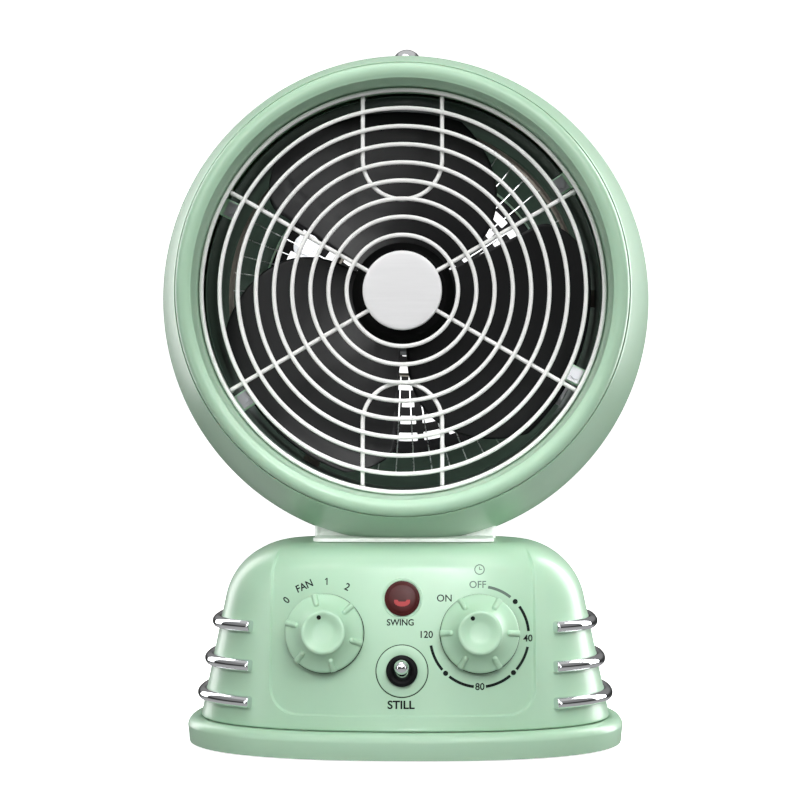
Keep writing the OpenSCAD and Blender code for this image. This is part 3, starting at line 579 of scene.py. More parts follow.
def knob(name, node, body, x, turn, dot_angle, dot_r):
    """Flared skirt with six finger ridges, and a dished face with a dot."""
    low, high = np.array([KNOB_R - 0.8, 3.8]), np.array([KNOB_RIM + 1.5, KNOB_H - 2.6])
    profile = [(SHAFT_R, 1.2), (KNOB_R - 0.5, 0.8), (KNOB_R - 0.1, 1.0), (KNOB_R, 1.4),
               (KNOB_R, 2.4), (KNOB_R - 0.12, 2.9), (KNOB_R - 0.4, 3.4)]
    for k in range(45):
        bow = math.sin(math.pi * k / 44) * np.array([0.55, 0.45])
        profile.append(low + (high - low) * (k / 44) - bow)
    rim_r, rim_round = KNOB_RIM - 0.25, 1.75
    profile += arc(rim_r, KNOB_H - rim_round, rim_round, rim_round, range(18, 91, 9))
    profile += [(r, knob_dish(r)) for r in (rim_r * (1 - k / 20) for k in range(1, 21))]
    verts, faces = revolve(profile, 504, closed=False)
    verts = raise_ridges(verts, low, high, turn)
    piece(name, panel_place(verts, x, KNOB_Z), faces, body, "mint_plastic", replaces=[node],
          sharp=50)
    dot, faces = revolve([(0, -0.5), (0.6, -0.5), (1.2, -0.5), (1.25, -0.1), (1.15, 0.1),
                          (0.6, 0.12), (0, 0.12)], 40, closed=False)
    dot[:, 0] += dot_r * cosd(dot_angle)
    dot[:, 1] += dot_r * sind(dot_angle)
    dot[:, 2] += [knob_dish(math.hypot(a, b)) for a, b in dot[:, :2]]
    piece(name + "_dot", panel_place(dot, x, KNOB_Z), faces, body, "black_plastic", DARK_INK_AND_SHADE)


knob("mode_dial_knob", "mode_knob", "mode_dial", -KNOB_X, 0, 106, 8.3)
knob("timer_dial_knob", "timer_knob", "timer_dial", KNOB_X, 15, 117, 8.6)


def panel_disc(name, profile, z, slot, mat=None, replaces=(), closed=True, x=0.0):
    """A round piece of the base, square to the panel at (x, z)."""
    verts, faces = revolve(profile, 128, closed)
    piece(name, panel_place(verts, x, z), faces, "base", slot, mat, replaces)


# Painted shadow: a thin dark ring on the panel under each knob's skirt, standing in for the shade
# in the gap beneath it
for side, where in ((-1, "left"), (1, "right")):
    panel_disc("dial_shadow_ring_" + where, rectangle(18, KNOB_R + 0.3, -3, -1.2, [0, 0, 0.2, 0]),
               KNOB_Z, "black_plastic", DARK_INK_AND_SHADE, x=side * KNOB_X)


def flat_shape(points, low, high):
    """A plate of the outline between two heights: its rim and two n-gon faces."""
    n = len(points)
    verts = [(x, y, low(x, y)) for x, y in points] + [(x, y, high(x, y)) for x, y in points]
    faces = [tuple(range(n)), tuple(range(2 * n - 1, n - 1, -1))]
    faces += [(i, n + i, n + (i + 1) % n, (i + 1) % n) for i in range(n)]
    return np.array(verts, float), faces


LENS_CROWN_R, LENS_EDGE_OUT, LENS_CROWN = LAMP_R - 2.1, 0.4, 0.9


def lens_top(x, y):
    r = min(1, math.hypot(x, y) / LENS_CROWN_R)
    return LENS_EDGE_OUT + LENS_CROWN * math.sqrt(1 - r * r)


def pilot_lamp():
    """A thin lip round a domed lens, with a lit bar set in the lens's face."""
    lens = [(0, -6), (LAMP_R - 1.2, -6), (LAMP_R - 1.2, -1.4), (LAMP_R - 0.5, -1.2),
            (LAMP_R - 0.35, -0.6)]
    lens += arc(0, -0.6, LAMP_R - 0.4, 1.5, range(6, 31, 6))
    lens += [(LAMP_R - 1.75, 0.1), (LAMP_R - 1.95, 0.3)]
    lens += arc(0, LENS_EDGE_OUT, LENS_CROWN_R, LENS_CROWN, range(6, 91, 6))
    panel_disc("pilot_lens", lens, LAMP_Z, "red_lens", replaces=["lamp_lens"], closed=False)
    well = [(LAMP_R + 0.1, -7), (LAMP_R + 1.1, -7), (LAMP_R + 1.1, PANEL_FACE + 0.45),
            (LAMP_R + 0.1, PANEL_FACE + 0.35)]
    panel_disc("pilot_well", rounded(well, [0, 0, 0.45, 0.3]), LAMP_Z, "mint_plastic")
    bar_r, drop = 4.4, 1.6
    bar = []
    for u in (-1 + 2 * k / 24 for k in range(25)):
        notch = -0.35 if abs(u) < 0.42 else 0.65 if abs(u) > 0.5 else 0.2
        bar.append((bar_r * u, 0.1 + notch - drop))
    bar += arc(0, -0.2 - drop, bar_r, -2.7, range(9, 180, 9))
    verts, faces = flat_shape(bar, lambda x, y: lens_top(x, y) - 0.8,
                              lambda x, y: lens_top(x, y) + 0.07)
    piece("pilot_bar", panel_place(verts, 0, LAMP_Z), faces, "base", "red_lens", GLOW, sharp=30)


def swing_switch():
    """A raised disc ringed by a thin dark ring of painted shade in place of a fine groove, a black
    bush, and a bright lever that points down.
    """
    disc_r, disc_out, shade_ring_out = 14.0, PANEL_FACE + 0.95, PANEL_FACE + 0.3
    panel_disc("switch_disc", rectangle(8.4, disc_r, -3, disc_out, [0, 0, 0.45, 0.2]),
               TOGGLE_Z, "mint_plastic", replaces=["switch_plate"])
    # Painted shade: a thin dark ring round the disc, drawn in place of the shadow in a fine groove
    panel_disc("switch_groove_shade", rectangle(disc_r - 0.1, disc_r + 0.45, -3, shade_ring_out, 0.1),
               TOGGLE_Z, "black_plastic", DARK_INK_AND_SHADE)
    bush = rounded([(3.3, -3.6), (8.6, -3.6), (8.6, 2.0), (6.9, 3.1), (5.0, 2.5), (3.3, -2.0)],
                   [0, 0, 0.5, 0.6, 0.3, 0])
    panel_disc("switch_collar", bush, TOGGLE_Z, "black_plastic", replaces=["switch_bush"])
    pivot_r, ball_r, ball_out, droop = 3.6, 4.1, 12.2, 8
    stem = [(0, -pivot_r)] + arc(0, 0, pivot_r, pivot_r, range(-80, 56, 10))
    stem += [(2.05, 3.4), (1.95, 5.0), (2.15, 8.0), (2.3, 8.9)]
    stem += arc(0, ball_out, ball_r, ball_r, range(-54, 90, 8))
    stem.append((0, ball_out + ball_r))
    verts, faces = revolve(stem, 64, closed=False)
    x, y, z = verts.T
    c, s = cosd(droop), sind(droop)
    lever = np.stack([x, y * c + z * s, z * c - y * s - 3.5], 1)
    piece("lever_bright", panel_place(lever, 0, TOGGLE_Z), faces, "toggle", "chrome",
          replaces=["toggle_lever"])


pilot_lamp()
swing_switch()

# --- lettering on the panel ---


def panel_point(x, z, lift=0.0):
    """A point that lies on the recessed panel's own curve, or a lift in front of it."""
    return (x, surface_y(x, z) + PANEL_DEPTH - lift, z)


def curve_mesh(curve):
    """The filled mesh of a curve or a text, as vertices and faces."""
    obj = bpy.data.objects.new(curve.name, curve)
    scene.collection.objects.link(obj)
    mesh = bpy.data.meshes.new_from_object(obj.evaluated_get(
        bpy.context.evaluated_depsgraph_get()))
    verts = np.array([v.co for v in mesh.vertices], float)
    faces = [tuple(p.vertices) for p in mesh.polygons]
    bpy.data.objects.remove(obj)
    bpy.data.meshes.remove(mesh)
    return verts, faces


INK_T = 0.09


def label(text, x, z, size, turn=0.0, bold=0.0, squeeze=1.0):
    """Vertices (x, z, height) and faces of centred text."""
    curve = bpy.data.curves.new("label", "FONT")
    curve.body = text
    curve.size = size
    curve.align_x = "CENTER"
    curve.align_y = "CENTER"
    curve.offset = bold
    curve.resolution_u = 6
    curve.extrude = 0.5
    verts, faces = curve_mesh(curve)
    middle = (verts.min(0) + verts.max(0)) / 2
    c, s = cosd(turn), sind(turn)
    flat = []
    for u, w, height in (verts - middle) * (squeeze, 1, 1):
        flat.append((x + u * c - w * s, z + u * s + w * c, INK_T if height > 0 else -INK_T))
    return flat, faces


def band(x, z, r, width, angles):
    """The four corners of a curved bar's section at each angle."""
    half = width / 2
    section = ((r - half, -INK_T), (r + half, -INK_T), (r + half, INK_T), (r - half, INK_T))
    return [(x + rr * cosd(a), z + rr * sind(a), h) for a in angles for rr, h in section]


def arc_band(x, z, r, start, stop, width=1.5, steps=24):
    """A curved bar of ink round a knob, from start to stop degrees."""
    angles = [start + (stop - start) * k / steps for k in range(steps + 1)]
    return band(x, z, r, width, angles), grid_faces(steps + 1, 4) + end_caps(steps + 1, 4)


def ring_band(x, z, r, width):
    return band(x, z, r, width, [7.5 * k for k in range(48)]), grid_faces(48, 4, wrap_rows=True)


def flat_ink(points):
    return flat_shape(points, lambda x, z: -INK_T, lambda x, z: INK_T)


def spot(x, z, r):
    return flat_ink(circle(r, 28, x, z))


def bar_mark(x0, z0, x1, z1, width):
    """A straight bar of ink from one point to another."""
    start, end = np.array([x0, z0]), np.array([x1, z1])
    along = (end - start) / math.hypot(x1 - x0, z1 - z0)
    aside = np.array([-along[1], along[0]]) * width / 2
    return flat_ink([start + aside, end + aside, end - aside, start - aside])


def lettering(name, shapes, mat):
    build = Build()
    for flat, faces in shapes:
        build.add([panel_point(*p) for p in flat], faces)
    build.make(name, "base", "black_plastic", mat=mat, sharp=30)


MODE_LABEL_R, ON_R, ON_ANGLE, CLOCK_Z = 27.9, 27.2, 135.5, KNOB_Z + 34.5
TIMER_R, MARK_Z = 27.1, KNOB_Z - 1.8
mode_marks = []
for text, angle, squeeze in (("0", 141.5, 0.9), ("FAN", 115, 0.95), ("2", 64, 0.95)):
    mode_marks.append(label(text, -KNOB_X + MODE_LABEL_R * cosd(angle),
                            KNOB_Z + MODE_LABEL_R * sind(angle), 5.6, angle - 90, 0.1, squeeze))
ONE_X, ONE_Z = -KNOB_X + 0.9, KNOB_Z + MODE_LABEL_R
mode_marks += [bar_mark(ONE_X, ONE_Z - 1.9, ONE_X, ONE_Z + 1.9, 0.62),
               bar_mark(ONE_X + 0.25, ONE_Z + 1.75, ONE_X - 1.1, ONE_Z + 0.95, 0.55)]
lettering("mode_lettering", mode_marks, DARK_INK_AND_SHADE)

timer_marks = [
    label("ON", KNOB_X + ON_R * cosd(ON_ANGLE), KNOB_Z + ON_R * sind(ON_ANGLE), 5.4, 0, 0.05),
    label("40", KNOB_X + 26.6, KNOB_Z - 3.2, 5.2, 0, 0.08),
    label("80", KNOB_X, KNOB_Z - 28.7, 5.2, 0, 0.08),
    label("120", KNOB_X - 29.0, KNOB_Z - 0.6, 5.2, 0, 0.08),
]
for start, stop in ((36, 5), (-13, -42), (-52, -83), (-97, -128), (-139, -170)):
    timer_marks.append(arc_band(KNOB_X, MARK_Z, TIMER_R, start, stop))
for angle in (43.5, -47, -133.6):
    timer_marks.append(spot(KNOB_X + TIMER_R * cosd(angle), MARK_Z + TIMER_R * sind(angle), 1.4))
lettering("timer_lettering", timer_marks, DARK_INK_AND_SHADE)
soft_marks = [label("OFF", KNOB_X - 1.0, KNOB_Z + 26.4, 5.4, 0, 0.04),
              arc_band(KNOB_X, MARK_Z, TIMER_R, 80, 51),
              ring_band(KNOB_X, CLOCK_Z, 2.6, 0.5),
              bar_mark(KNOB_X, CLOCK_Z, KNOB_X, CLOCK_Z + 1.5, 0.4),
              bar_mark(KNOB_X, CLOCK_Z, KNOB_X + 1.3, CLOCK_Z, 0.4)]
lettering("timer_lettering_pale", soft_marks, INK_SOFT)
lettering("swing_lettering", [label("SWING", -1.0, 73.6, 4.8, 0, 0.09, 0.96),
                              label("STILL", -0.4, 29.4, 6.1, 0, 0.15, 1.06)], DARK_INK_AND_SHADE)

# --- neck ---


def drum_at(out, inset=0.0):
    if out >= DRUM_WIDE:
        return DRUM_R - FLANK_ROUND + math.sqrt((FLANK_ROUND - inset) ** 2 - (out - DRUM_WIDE) ** 2)
    u = min(1, (DRUM_WIDE - out) / (DRUM_DEPTH - inset))
    return (DRUM_R - inset) * (1 - u ** DOME_N) ** (1 / DOME_N)


def drum_line(outs, inset=0.0):
    return [(drum_at(o, inset), o) for o in outs]


def drum_floor(x, y, lift=0.06):
    """Height at (x, y) of the drum's underside, or a little below it."""
    return max(DRUM_FLOOR - 0.1, HEAD_Z - math.sqrt(max(1, (drum_at(-y) + lift) ** 2 - x * x)))


def divided(corners, step=3):
    """The outline's points with long stretches divided."""
    plan = []
    for i, p in enumerate(corners):
        q = corners[(i + 1) % len(corners)]
        steps = max(1, int(math.hypot(q[0] - p[0], q[1] - p[1]) / step))
        plan += [(p[0] + (q[0] - p[0]) * k / steps, p[1] + (q[1] - p[1]) * k / steps)
                 for k in range(steps)]
    return plan


def neck_slab(half_x, front_y, back_y, corner, top):
    """A slab on the base with softened lower edge whose top stops at a height or the drum."""
    low = BASE_TOP + 0.5
    plan = divided(rounded([(half_x, front_y), (half_x, back_y), (-half_x, back_y),
                            (-half_x, front_y)], corner, 10))
    mid = (front_y + back_y) / 2

    def inset(x, y, d):
        return (x * (1 - d / half_x), mid + (y - mid) * (1 - d / (back_y - mid)))

    rings = [[(*inset(x, y, d), z) for x, y in plan]
             for d, z in ((3, low), (0.25, low), (0.07, low + 0.1), (0, low + 0.35))]
    for t in (0.4, 0.8, 1.0):
        rings.append([(x, y, low + 0.35 + (min(top, drum_floor(x, y)) - low - 0.35) * t)
                      for x, y in plan])
    for scale in (0.85, 0.6, 0.3):
        ring = [(x * scale, mid + (y - mid) * scale) for x, y in plan]
        rings.append([(x, y, min(top, drum_floor(x, y))) for x, y in ring])
    faces = grid_faces(len(rings), len(plan)) + end_caps(len(rings), len(plan))
    return np.array(rings).reshape(-1, 3), faces


def neck():
    """A thin plate, a block behind it that cradles the drum, and the swivel's tube."""
    build = Build().add(*neck_slab(51, -47, 30, 7, BASE_TOP + 2.4))
    build.add(*neck_slab(53, -8, 30, 9, BASE_TOP + 20))
    tube_hole, tube_r, tube_end, tube_top = 10, 15, 99.4, BASE_TOP + 0.7
    build.add(*revolve(rectangle(tube_hole, tube_r, tube_end, tube_top), 96))
    build.make("neck_block", "head", "white_plastic", replaces=["neck"], sharp=50)


neck()

# --- drum ---


MID = LIP_FRONT - BEAD_ROUND
SHELL_EDGE, SHELL_FRONT, LUG_DEPTH = BEAD_R + BEAD_ROUND + 0.3, MID - 0.3, 3.5
GRILLE_R, SLOT_FIRST, SLOT_STEP, SLOT_HALF = 89.8, 27, 10.6, 3


def lug():
    """One of the bezel's inward lugs: a block with softened edges."""
    middle, half_x, half_y, edge = 108, 5.4, 5, 0.8
    back = LUG_OUT - LUG_DEPTH
    plan = rectangle(-half_x, half_x, -half_y, half_y, edge, 3)
    rings = []
    for z, inset in ((back, 0.5), (back + edge * 0.5, 0), (LUG_OUT - edge * 0.5, 0),
                     (LUG_OUT - edge * 0.15, 0.2), (LUG_OUT, 0.6)):
        sx, sy = 1 - edge * inset / half_x, 1 - edge * inset / half_y
        rings.append([(middle + x * sx, y * sy, z) for x, y in plan])
    return np.array(rings).reshape(-1, 3), grid_faces(5, len(plan)) + end_caps(5, len(plan))


def bezel():
    """The bead round the mouth, stepped inward to a ledge, with four lugs for the guard."""
    ledge = LUG_OUT - LUG_DEPTH
    section = arc(BEAD_R, MID, BEAD_ROUND, BEAD_ROUND, range(0, 127, 6))
    section += [(115.55, MID + 4.25), (115.25, MID + 3.9), (115.1, MID + 3.3), (114.6, MID - 2),
                (113.55, MID - 6), (113.2, 62), (112.9, LUG_OUT - 1.0), (112.6, ledge),
                (LINER_R + 4, ledge), (LINER_R + 5.1, MID - 3), (BEAD_R + BEAD_ROUND, MID - 3)]
    build = Build().add(*revolve(section, 360))
    verts, faces = lug()
    for angle in CLIP_ANGLES:
        build.add(turned(verts, angle + 4.2), faces)
    build.make("bezel_ring", "head", "mint_plastic", place=head_place, replaces=["front_bezel"],
               sharp=35)


def drum_shell(name, node, section):
    """Half of the drum, with its underside lifted to the flat floor, a wall higher inside."""
    verts, faces = revolve(section, 480)
    placed = head_place(verts)
    radius, out = np.hypot(verts[:, 0], verts[:, 1]), verts[:, 2]
    outside = np.array([r > drum_at(o) - WALL * 0.5 for r, o in zip(radius, out)])
    floor = np.where(outside & (out < SHELL_FRONT), DRUM_FLOOR, DRUM_FLOOR + WALL)
    placed[:, 2] = np.maximum(placed[:, 2], floor)
    piece(name, placed, faces, "head", "mint_plastic", replaces=[node], sharp=35)


def drum_front():
    joint, inner_front = PART_OUT, 68
    section = [(SHELL_EDGE, SHELL_FRONT - 0.6), (SHELL_EDGE + 0.1, SHELL_FRONT - 0.15),
               (SHELL_EDGE + 0.28, SHELL_FRONT)]
    section += drum_line(SHELL_FRONT - 0.35 + (joint + 1.2 - SHELL_FRONT) * k / 54
                         for k in range(55))
    section += [(drum_at(joint + 0.7) - 0.03, joint + 0.7), (drum_at(joint) - 0.2, joint + 0.2),
                (drum_at(joint) - 0.8, joint)]
    section += drum_line((joint + (inner_front - joint) * k / 20 for k in range(21)), WALL)
    section += [(117.5, 71), (117.5, MID - 3.3), (SHELL_EDGE, MID - 3.3)]
    drum_shell("drum_front_shell", "drum_front", section)


def drum_rear():
    joint, back_r, mouth = PART_OUT - 0.4, drum_at(BACK_OUT), REAR_OPEN
    section = [(drum_at(joint) - 0.8, joint), (drum_at(joint) - 0.2, joint - 0.2),
               (drum_at(joint - 0.7) - 0.03, joint - 0.7)]
    section += drum_line(joint - 0.9 + (BACK_OUT + 2.2 - joint + 0.9) * sind(90 * k / 54)
                         for k in range(1, 54))
    section += [(drum_at(BACK_OUT + 2.2) - 0.1, BACK_OUT + 2.2),
                (drum_at(BACK_OUT + 0.9) - 0.5, BACK_OUT + 0.9),
                (back_r - 1.6, BACK_OUT + 0.15), (back_r - 3.5, BACK_OUT), (mouth + 0.8, BACK_OUT),
                (mouth + 0.2, BACK_OUT + 0.2), (mouth, BACK_OUT + 0.8), (mouth, BACK_OUT + 3)]
    section += drum_line((BACK_OUT + 3 + (joint - BACK_OUT - 3) * (1 - cosd(90 * k / 40))
                          for k in range(41)), WALL)
    drum_shell("drum_rear_shell", "drum_rear", section)


def head_round(name, profile, n, slot, body="head", closed=True, **more):
    """A piece turned about the fan's axis."""
    verts, faces = revolve(profile, n, closed)
    piece(name, head_place(verts), faces, body, slot, **more)


def duct():
    """A sleeve behind the guard that narrows to the rear grille."""
    sleeve = [(LINER_R, -38), (91, -67), (91.8, -67.4), (LINER_R + 0.8, -38.4),
              (LINER_R + 0.8, 48), (LINER_R, 48)]
    head_round("duct_sleeve", rounded(sleeve, 0.2, 2), 256, "duct_steel",
               replaces=["duct_liner"], sharp=35)


def rear_grille():
    """Flat plate with rows of rounded slots between radial ribs."""
    curve = bpy.data.curves.new("grille", "CURVE")
    curve.dimensions = "2D"
    curve.fill_mode = "BOTH"
    curve.extrude = 0.9 * MM
    curve.bevel_depth = 0.4 * MM
    curve.bevel_resolution = 2

    def loop(points):
        spline = curve.splines.new("POLY")
        spline.points.add(len(points) - 1)
        for p, (x, y) in zip(spline.points, points):
            p.co = (x * MM, y * MM, 0, 1)
        spline.use_cyclic_u = True

    loop(circle(GRILLE_R, 240))
    steps = 6
    radii = [2.2 if i % (steps + 1) in (0, steps) else 0 for i in range(2 * steps + 2)]
    for row in range(6):
        r = SLOT_FIRST + row * SLOT_STEP
        n = 16 if row < 3 else 32
        half = math.degrees((math.pi * r / n - 1.6) / r)
        near = [(r - SLOT_HALF, -half + 2 * half * k / steps) for k in range(steps + 1)]
        corners = near + [(r + SLOT_HALF, a) for _, a in reversed(near)]
        for k in range(n):
            loop(rounded([(rr * cosd(a + 360 * k / n), rr * sind(a + 360 * k / n))
                          for rr, a in corners], radii, 4))
    verts, faces = curve_mesh(curve)
    verts = verts / MM + [0, 0, BACK_OUT + 4.4]
    piece("rear_slots", head_place(verts), faces, "head", "black_plastic",
          replaces=["rear_grille"], sharp=30)


bezel()
drum_front()
drum_rear()
duct()
rear_grille()

# --- guard ---


def guard():
    """Wire rings, the straight and looped spokes that bend back behind them, and the disc."""
    build = Build()
    wire = circle(WIRE_R, 14)
    for k in range(RING_COUNT):
        r = RING_FIRST + k * RING_STEP
        path = [(x, y, GUARD_OUT) for x, y in circle(r, 256)]
        build.add(*sweep(path, wire, (0, 0, 1), closed=True))
    build.make("guard_wire_rings", "head", "wire_enamel", place=head_place,
               replaces=["guard_rings"])

    spoke_out = GUARD_OUT - 2 * WIRE_R - 0.02
    spoke_start, spoke_end, bend = 7, RING_FIRST + (RING_COUNT - 1) * RING_STEP - 1.2, 2.5

    def leg(start, end, side, steps):
        """A wire outward in the plane of the spokes, its bend, and its short end behind."""
        points = [(start + (end - bend - start) * k / steps, side, spoke_out)
                  for k in range(steps)]
        points += [(end - bend + bend * sind(t), side, spoke_out - bend + bend * cosd(t))
                   for t in range(0, 91, 10)]
        return points + [(end, side, spoke_out - 5), (end, side, spoke_out - 9)]

    def add_spoke(path, angles):
        path, scales = round_ended(path, WIRE_R, 0.5, 3)
        rod, faces = sweep(path, wire, (0, 1, 0), scales)
        for a in angles:
            build.add(turned(rod, a), faces)

    build = Build()
    add_spoke(leg(spoke_start, spoke_end, 0, 12), CLIP_ANGLES)
    near = RING_FIRST + 2 * RING_STEP + BRACE_X
    one = leg(near, math.sqrt(spoke_end ** 2 - BRACE_X ** 2), BRACE_X, 8)
    loop = [(near - BRACE_X * sind(t), BRACE_X * cosd(t), spoke_out) for t in range(4, 180, 4)]
    add_spoke(one[::-1] + loop + [(x, -y, z) for x, y, z in one], (90, -90))
    build.make("guard_wire_spokes", "head", "wire_enamel", place=head_place,
               replaces=["guard_spokes"])

    back, crown_r = spoke_out + WIRE_R + 0.05, CAP_R - 0.9
    disc = [(0, back), (CAP_R - 0.3, back), (CAP_R, back + 0.3), (CAP_R, back + 3.0),
            (CAP_R - 0.12, back + 3.35), (CAP_R - 0.45, back + 3.65), (crown_r, back + 3.8)]
    disc += [(crown_r * (1 - k / 12), back + 3.8 + 0.4 * (1 - (1 - k / 12) ** 2))
             for k in range(1, 13)]
    head_round("guard_badge_disc", disc, 192, "cap_silver", closed=False,
               replaces=["guard_cap"])


guard()

# --- handle ---


def handle():
    """A crowned strap that runs from the front of the drum's crown to the back."""
    half, w = HANDLE_T / 2, HANDLE_W / 2
    top, bend = HANDLE_TOP - half, 13 + half
    front, back = HANDLE_FRONT - half, HANDLE_BACK + half
    foot_front = HEAD_Z + drum_at(-front) - 0.6
    foot_back = HEAD_Z + drum_at(-back) - 1.5
    path = [(0, front, foot_front), (0, front, foot_front + 1.0)]
    path += [(0, front + bend * (1 - cosd(t)), top - bend * (1 - sind(t)))
             for t in range(0, 91, 6)]
    path += [(0, back - bend * (1 - sind(t)), top - bend * (1 - cosd(t)))
             for t in range(0, 91, 5)]
    path += [(0, back, foot_back + 1.0), (0, back, foot_back)]
    crown_r, crown_end = 9.1, 57.5
    crown = arc(0, half - crown_r, crown_r, crown_r,
                np.linspace(90 + crown_end, 90 - crown_end, 25))
    edge = half - crown_r + crown_r * cosd(crown_end) - 0.2
    section = crown + rounded([(w, edge), (w, -half), (-w, -half), (-w, edge)], 0.7, 3)
    verts, faces = sweep(path, section, (0, -1, 0))
    piece("handle_strap", verts, faces, "head", "chrome", STRAP, ["handle"], sharp=45)


def paint_strap_reflections(mat, half, top):
    """Painted reflections: darker lines along a bright strap's two edges and a darker upper face,
    standing in for dark surroundings mirrored in the chrome.
    """
    tree = mat.node_tree
    split = new_node(tree, "SeparateXYZ")
    across, both = new_node(tree, "Math"), new_node(tree, "Math")
    across.operation, both.operation = "ABSOLUTE", "MINIMUM"
    tone = new_node(tree, "HueSaturation")
    join(tree.nodes["Texture Coordinate"], "Object", split, "Vector")
    join(split, "X", across, 0)
    for k, (source, output, start, end) in enumerate(
            ((across, 0, 0.6 * half, 0.8 * half), (split, "Z", top - 1.7, top - 1.1))):
        fade = new_node(tree, "MapRange", {"From Min": start * MM, "From Max": end * MM,
                                           "To Min": 1, "To Max": 0.06})
        join(source, output, fade, "Value")
        join(fade, "Result", both, k)
    join(both, 0, tone, "Value")
    join(tree.nodes["Color Ramp"], "Color", tone, "Color")
    join(tone, "Color", tree.nodes["Principled BSDF"], "Base Color")


handle()
# the handle's chrome gets painted dark reflections along its edges and top
paint_strap_reflections(STRAP, HANDLE_W / 2, HANDLE_TOP)

# --- fan ---

BLADE_ROWS, BLADE_COLS, BLADE_FRONT, BLADE_PITCH, BLADE_BOW = 44, 60, 44, 19, 3


def lead_angle(r):
    return 27 - 15 * max(0, (r - 84) / (TIP_R - 84)) ** 2


def trail_angle(r):
    return -88 + 40 * max(0, (r - HUB_R) / (TIP_R - HUB_R)) ** 2.2


def blade_mid(r, u):
    """The middle of the blade's thickness, a part u of the way from its front edge."""
    t = lead_angle(r) + (trail_angle(r) - lead_angle(r)) * u
    return r * cosd(t), r * sind(t), BLADE_FRONT - BLADE_PITCH * u - BLADE_BOW * sind(180 * u)


def blade():
    """A pitched blade with rounded edges and two fine moulded lines that follow them."""
    sides = []
    for side in (-1, 1):
        rows = []
        for j in range(BLADE_ROWS + 1):
            v = j / BLADE_ROWS
            v = 1 - (1 - v) ** 1.25
            r = HUB_R - 0.6 + (TIP_R - HUB_R + 0.6) * v
            row = []
            for i in range(BLADE_COLS + 1):
                u = 0.5 - 0.5 * math.cos(math.pi * i / BLADE_COLS)
                u = 0.6 * u + 0.4 * i / BLADE_COLS
                x, y, out = blade_mid(r, u)
                span = math.radians(lead_angle(r) - trail_angle(r)) * r
                rim = min(u * span, (1 - u) * span, TIP_R - r)
                thick = BLADE_T / 2 * math.sqrt(1 - (1 - min(1, rim / 1.6)) ** 2 * 0.98)
                line = max(0, 1 - abs(min(u * span * 0.8, TIP_R - r) - 12) / 0.7)
                row.append((x, y, out + side * (thick - 0.28 * line)))
            rows.append(row)
        sides.append(np.array(rows).reshape(-1, 3))
    rows, cols = BLADE_ROWS + 1, BLADE_COLS + 1
    half = rows * cols
    faces = []
    for f in grid_faces(rows, cols, wrap_cols=False):
        faces += [f[::-1], tuple(half + i for i in f)]
    rim = list(range(cols)) + [j * cols + cols - 1 for j in range(1, rows)]
    rim += [(rows - 1) * cols + i for i in range(cols - 2, -1, -1)]
    rim += [j * cols for j in range(rows - 2, 0, -1)]
    faces += [(a, b, half + b, half + a) for a, b in zip(rim, rim[1:] + rim[:1])]
    return np.concatenate(sides), faces


def fan():
    """The hub, hollow behind, and three blades."""
    rim, web = HUB_R - 2.5, 41
    hub = rounded([(SHAFT_R, HUB_FRONT), (24.5, HUB_FRONT), (HUB_R, HUB_FRONT - 5),
                   (HUB_R, HUB_BACK), (rim, HUB_BACK), (rim, web), (9, web), (9, HUB_BACK),
                   (SHAFT_R, HUB_BACK)], [0.4, 2, 3, 0.6, 0.5, 2, 2, 0.4, 0.2])
    head_round("fan_hub", hub, 160, "blade_plastic", body="rotor", mat=HUB, sharp=60)
    build = Build()
    verts, faces = blade()
    for k in range(3):
        build.add(turned(verts, 120 * k), faces)
    build.make("fan_wheel", "rotor", "blade_plastic", place=head_place, replaces=["fan"],
               sharp=60)


fan()

# --- heating element ---


def heater():
    """Waved radial wires, nine in each sixth of the mica frame."""
    inner, outer, wave, waves, steps = 45.1, 100.9, 0.35, 7, 28
    path = [(inner + (outer - inner) * i / steps, 0,
             6 + wave * math.sin(2 * math.pi * waves * i / steps)) for i in range(steps + 1)]
    rod, faces = sweep(path, circle(0.38, 8), (0, 1, 0))
    build = Build()
    for sector in range(6):
        for k in range(1, 10):
            build.add(turned(rod, 15 + 60 * sector + 6 * k), faces)
    build.make("heater_strands", "head", "heater_alloy", place=head_place,
               replaces=["heater_wires"])


heater()

# --- carried-over CAD nodes: softened edges and their own materials ---

for name, node in frame["nodes"].items():
    node.data.materials.clear()
    node.data.materials.append(MATERIALS[NODE_SLOT[name]])
    if not node.hide_render:
        soften = node.modifiers.new("soft_edges", "BEVEL")
        soften.width = 0.25 * MM
        soften.segments = 2
        soften.limit_method = "ANGLE"
        soften.angle_limit = math.radians(40)

# --- studio ---


def backdrop(name, verts, faces, glow):
    """Pale paper that shines a little by itself, lights nothing and shows in nothing."""
    paper = material(name + "_paper", srgb(250, 250, 250), 0.9, vary=0.002, bump=0.01, shine=0,
                     glow=glow)
    obj = mesh_object("studio_" + name, verts, faces, paper)
    for ray in ("diffuse", "glossy", "transmission", "shadow"):
        setattr(obj, "visible_" + ray, False)


ROOM = 9
backdrop("floor", [(x, y, -0.3 * MM) for x in (-ROOM, ROOM) for y in (-ROOM, ROOM)],
         [(0, 2, 3, 1)], 0.9)
dome = arc(0, -0.2, ROOM, ROOM, range(0, 90, 6)) + [(0, ROOM - 0.2)]
dome_verts, dome_faces = revolve(dome, 64, closed=False)
backdrop("dome", dome_verts.tolist(), dome_faces, 1.0)

world = bpy.data.worlds.new("studio")
scene.world = world
world.use_nodes = True
tree = world.node_tree
ambient = tree.nodes["Background"]
set_inputs(ambient, {"Color": (1, 1, 1, 1), "Strength": 0.32})

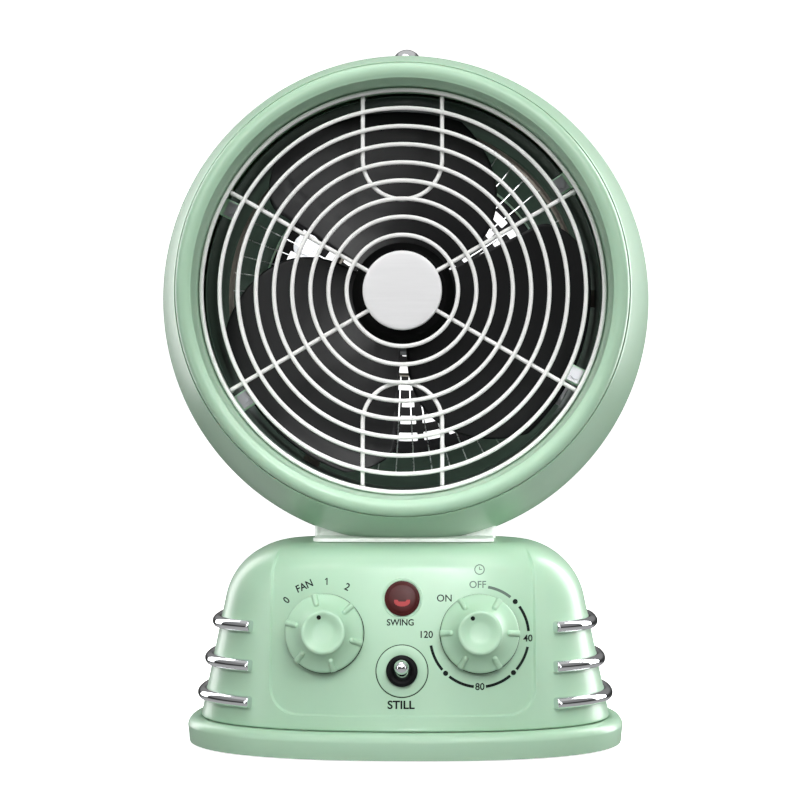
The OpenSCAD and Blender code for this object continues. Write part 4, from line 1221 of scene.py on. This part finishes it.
# what bright metal reflects: a pale table, dark flags at the sides and a soft box overhead
LEVELS = ((0.0, 0.5), (0.36, 0.42), (0.42, 0.04), (0.52, 0.05), (0.58, 0.24), (0.76, 0.3),
          (0.82, 0.6))
flags = new_node(tree, "Background")
split = new_node(tree, "SeparateXYZ")
height = new_node(tree, "MapRange", {"From Min": -1, "From Max": 1})
bands = new_node(tree, "ValToRGB")
choose = new_node(tree, "MixShader")
for k, (place, level) in enumerate(LEVELS):
    stop = bands.color_ramp.elements[k] if k < 2 else bands.color_ramp.elements.new(place)
    stop.position, stop.color = place, (level, level, level, 1)
join(new_node(tree, "TexCoord"), "Generated", split, "Vector")
join(split, "Z", height, "Value")
join(height, "Result", bands, "Fac")
join(bands, "Color", flags, "Color")
join(new_node(tree, "LightPath"), "Is Glossy Ray", choose, "Fac")
join(ambient, "Background", choose, 1)
join(flags, "Background", choose, 2)
join(choose, "Shader", tree.nodes["World Output"], "Surface")


def area(name, place, aim, size, power, spread=180):
    light = bpy.data.objects.new(name, bpy.data.lights.new(name, "AREA"))
    light.data.shape = "RECTANGLE"
    light.data.size, light.data.size_y = size
    light.data.energy = power
    light.data.spread = math.radians(spread)
    light.location = place
    light.rotation_euler = (Vector(aim) - Vector(place)).to_track_quat("-Z", "Y").to_euler()
    light.visible_camera = False
    scene.collection.objects.link(light)
    return light


area("key", (0.6, -1.2, 1.15), (0, 0, 0.2), (0.8, 0.8), 12.5)
area("top", (-0.1, -0.2, 1.5), (0, 0, 0.1), (0.9, 0.9), 7)
area("rim_left", (-0.95, 0.8, 0.5), (0, 0, 0.25), (0.5, 1.2), 8)
area("rim_right", (1.0, 0.55, 0.5), (0, 0, 0.25), (0.5, 1.2), 15)
area("front_left", (-0.6, -1.0, 0.7), (0, -0.05, 0.2), (0.5, 0.4), 2.2)
area("low_front", (0.08, -0.6, 0.27), (0.02, -0.05, 0.112), (0.3, 0.1), 0.07, spread=24)
area("foot", (0.0, -0.75, 0.012), (0, -0.08, 0.0), (0.7, 0.02), 0.018, spread=9)
area("inside", (0, -0.012, HEAD_Z * MM), (0, 1, HEAD_Z * MM), (0.14, 0.14), 0.3)
area("head_left", (-0.45, -1.0, 0.9), (-0.09, -0.05, 0.32), (0.4, 0.4), 0.14, spread=34)
for card in (area("left_card", (-1.0, -0.6, 0.2), (-0.1, 0, 0.06), (0.14, 0.7), 1.4),
             area("right_card", (1.0, -0.6, 0.2), (0.1, 0, 0.06), (0.14, 0.7), 1.0)):
    card.visible_diffuse = False

scene.view_settings.view_transform = "Standard"
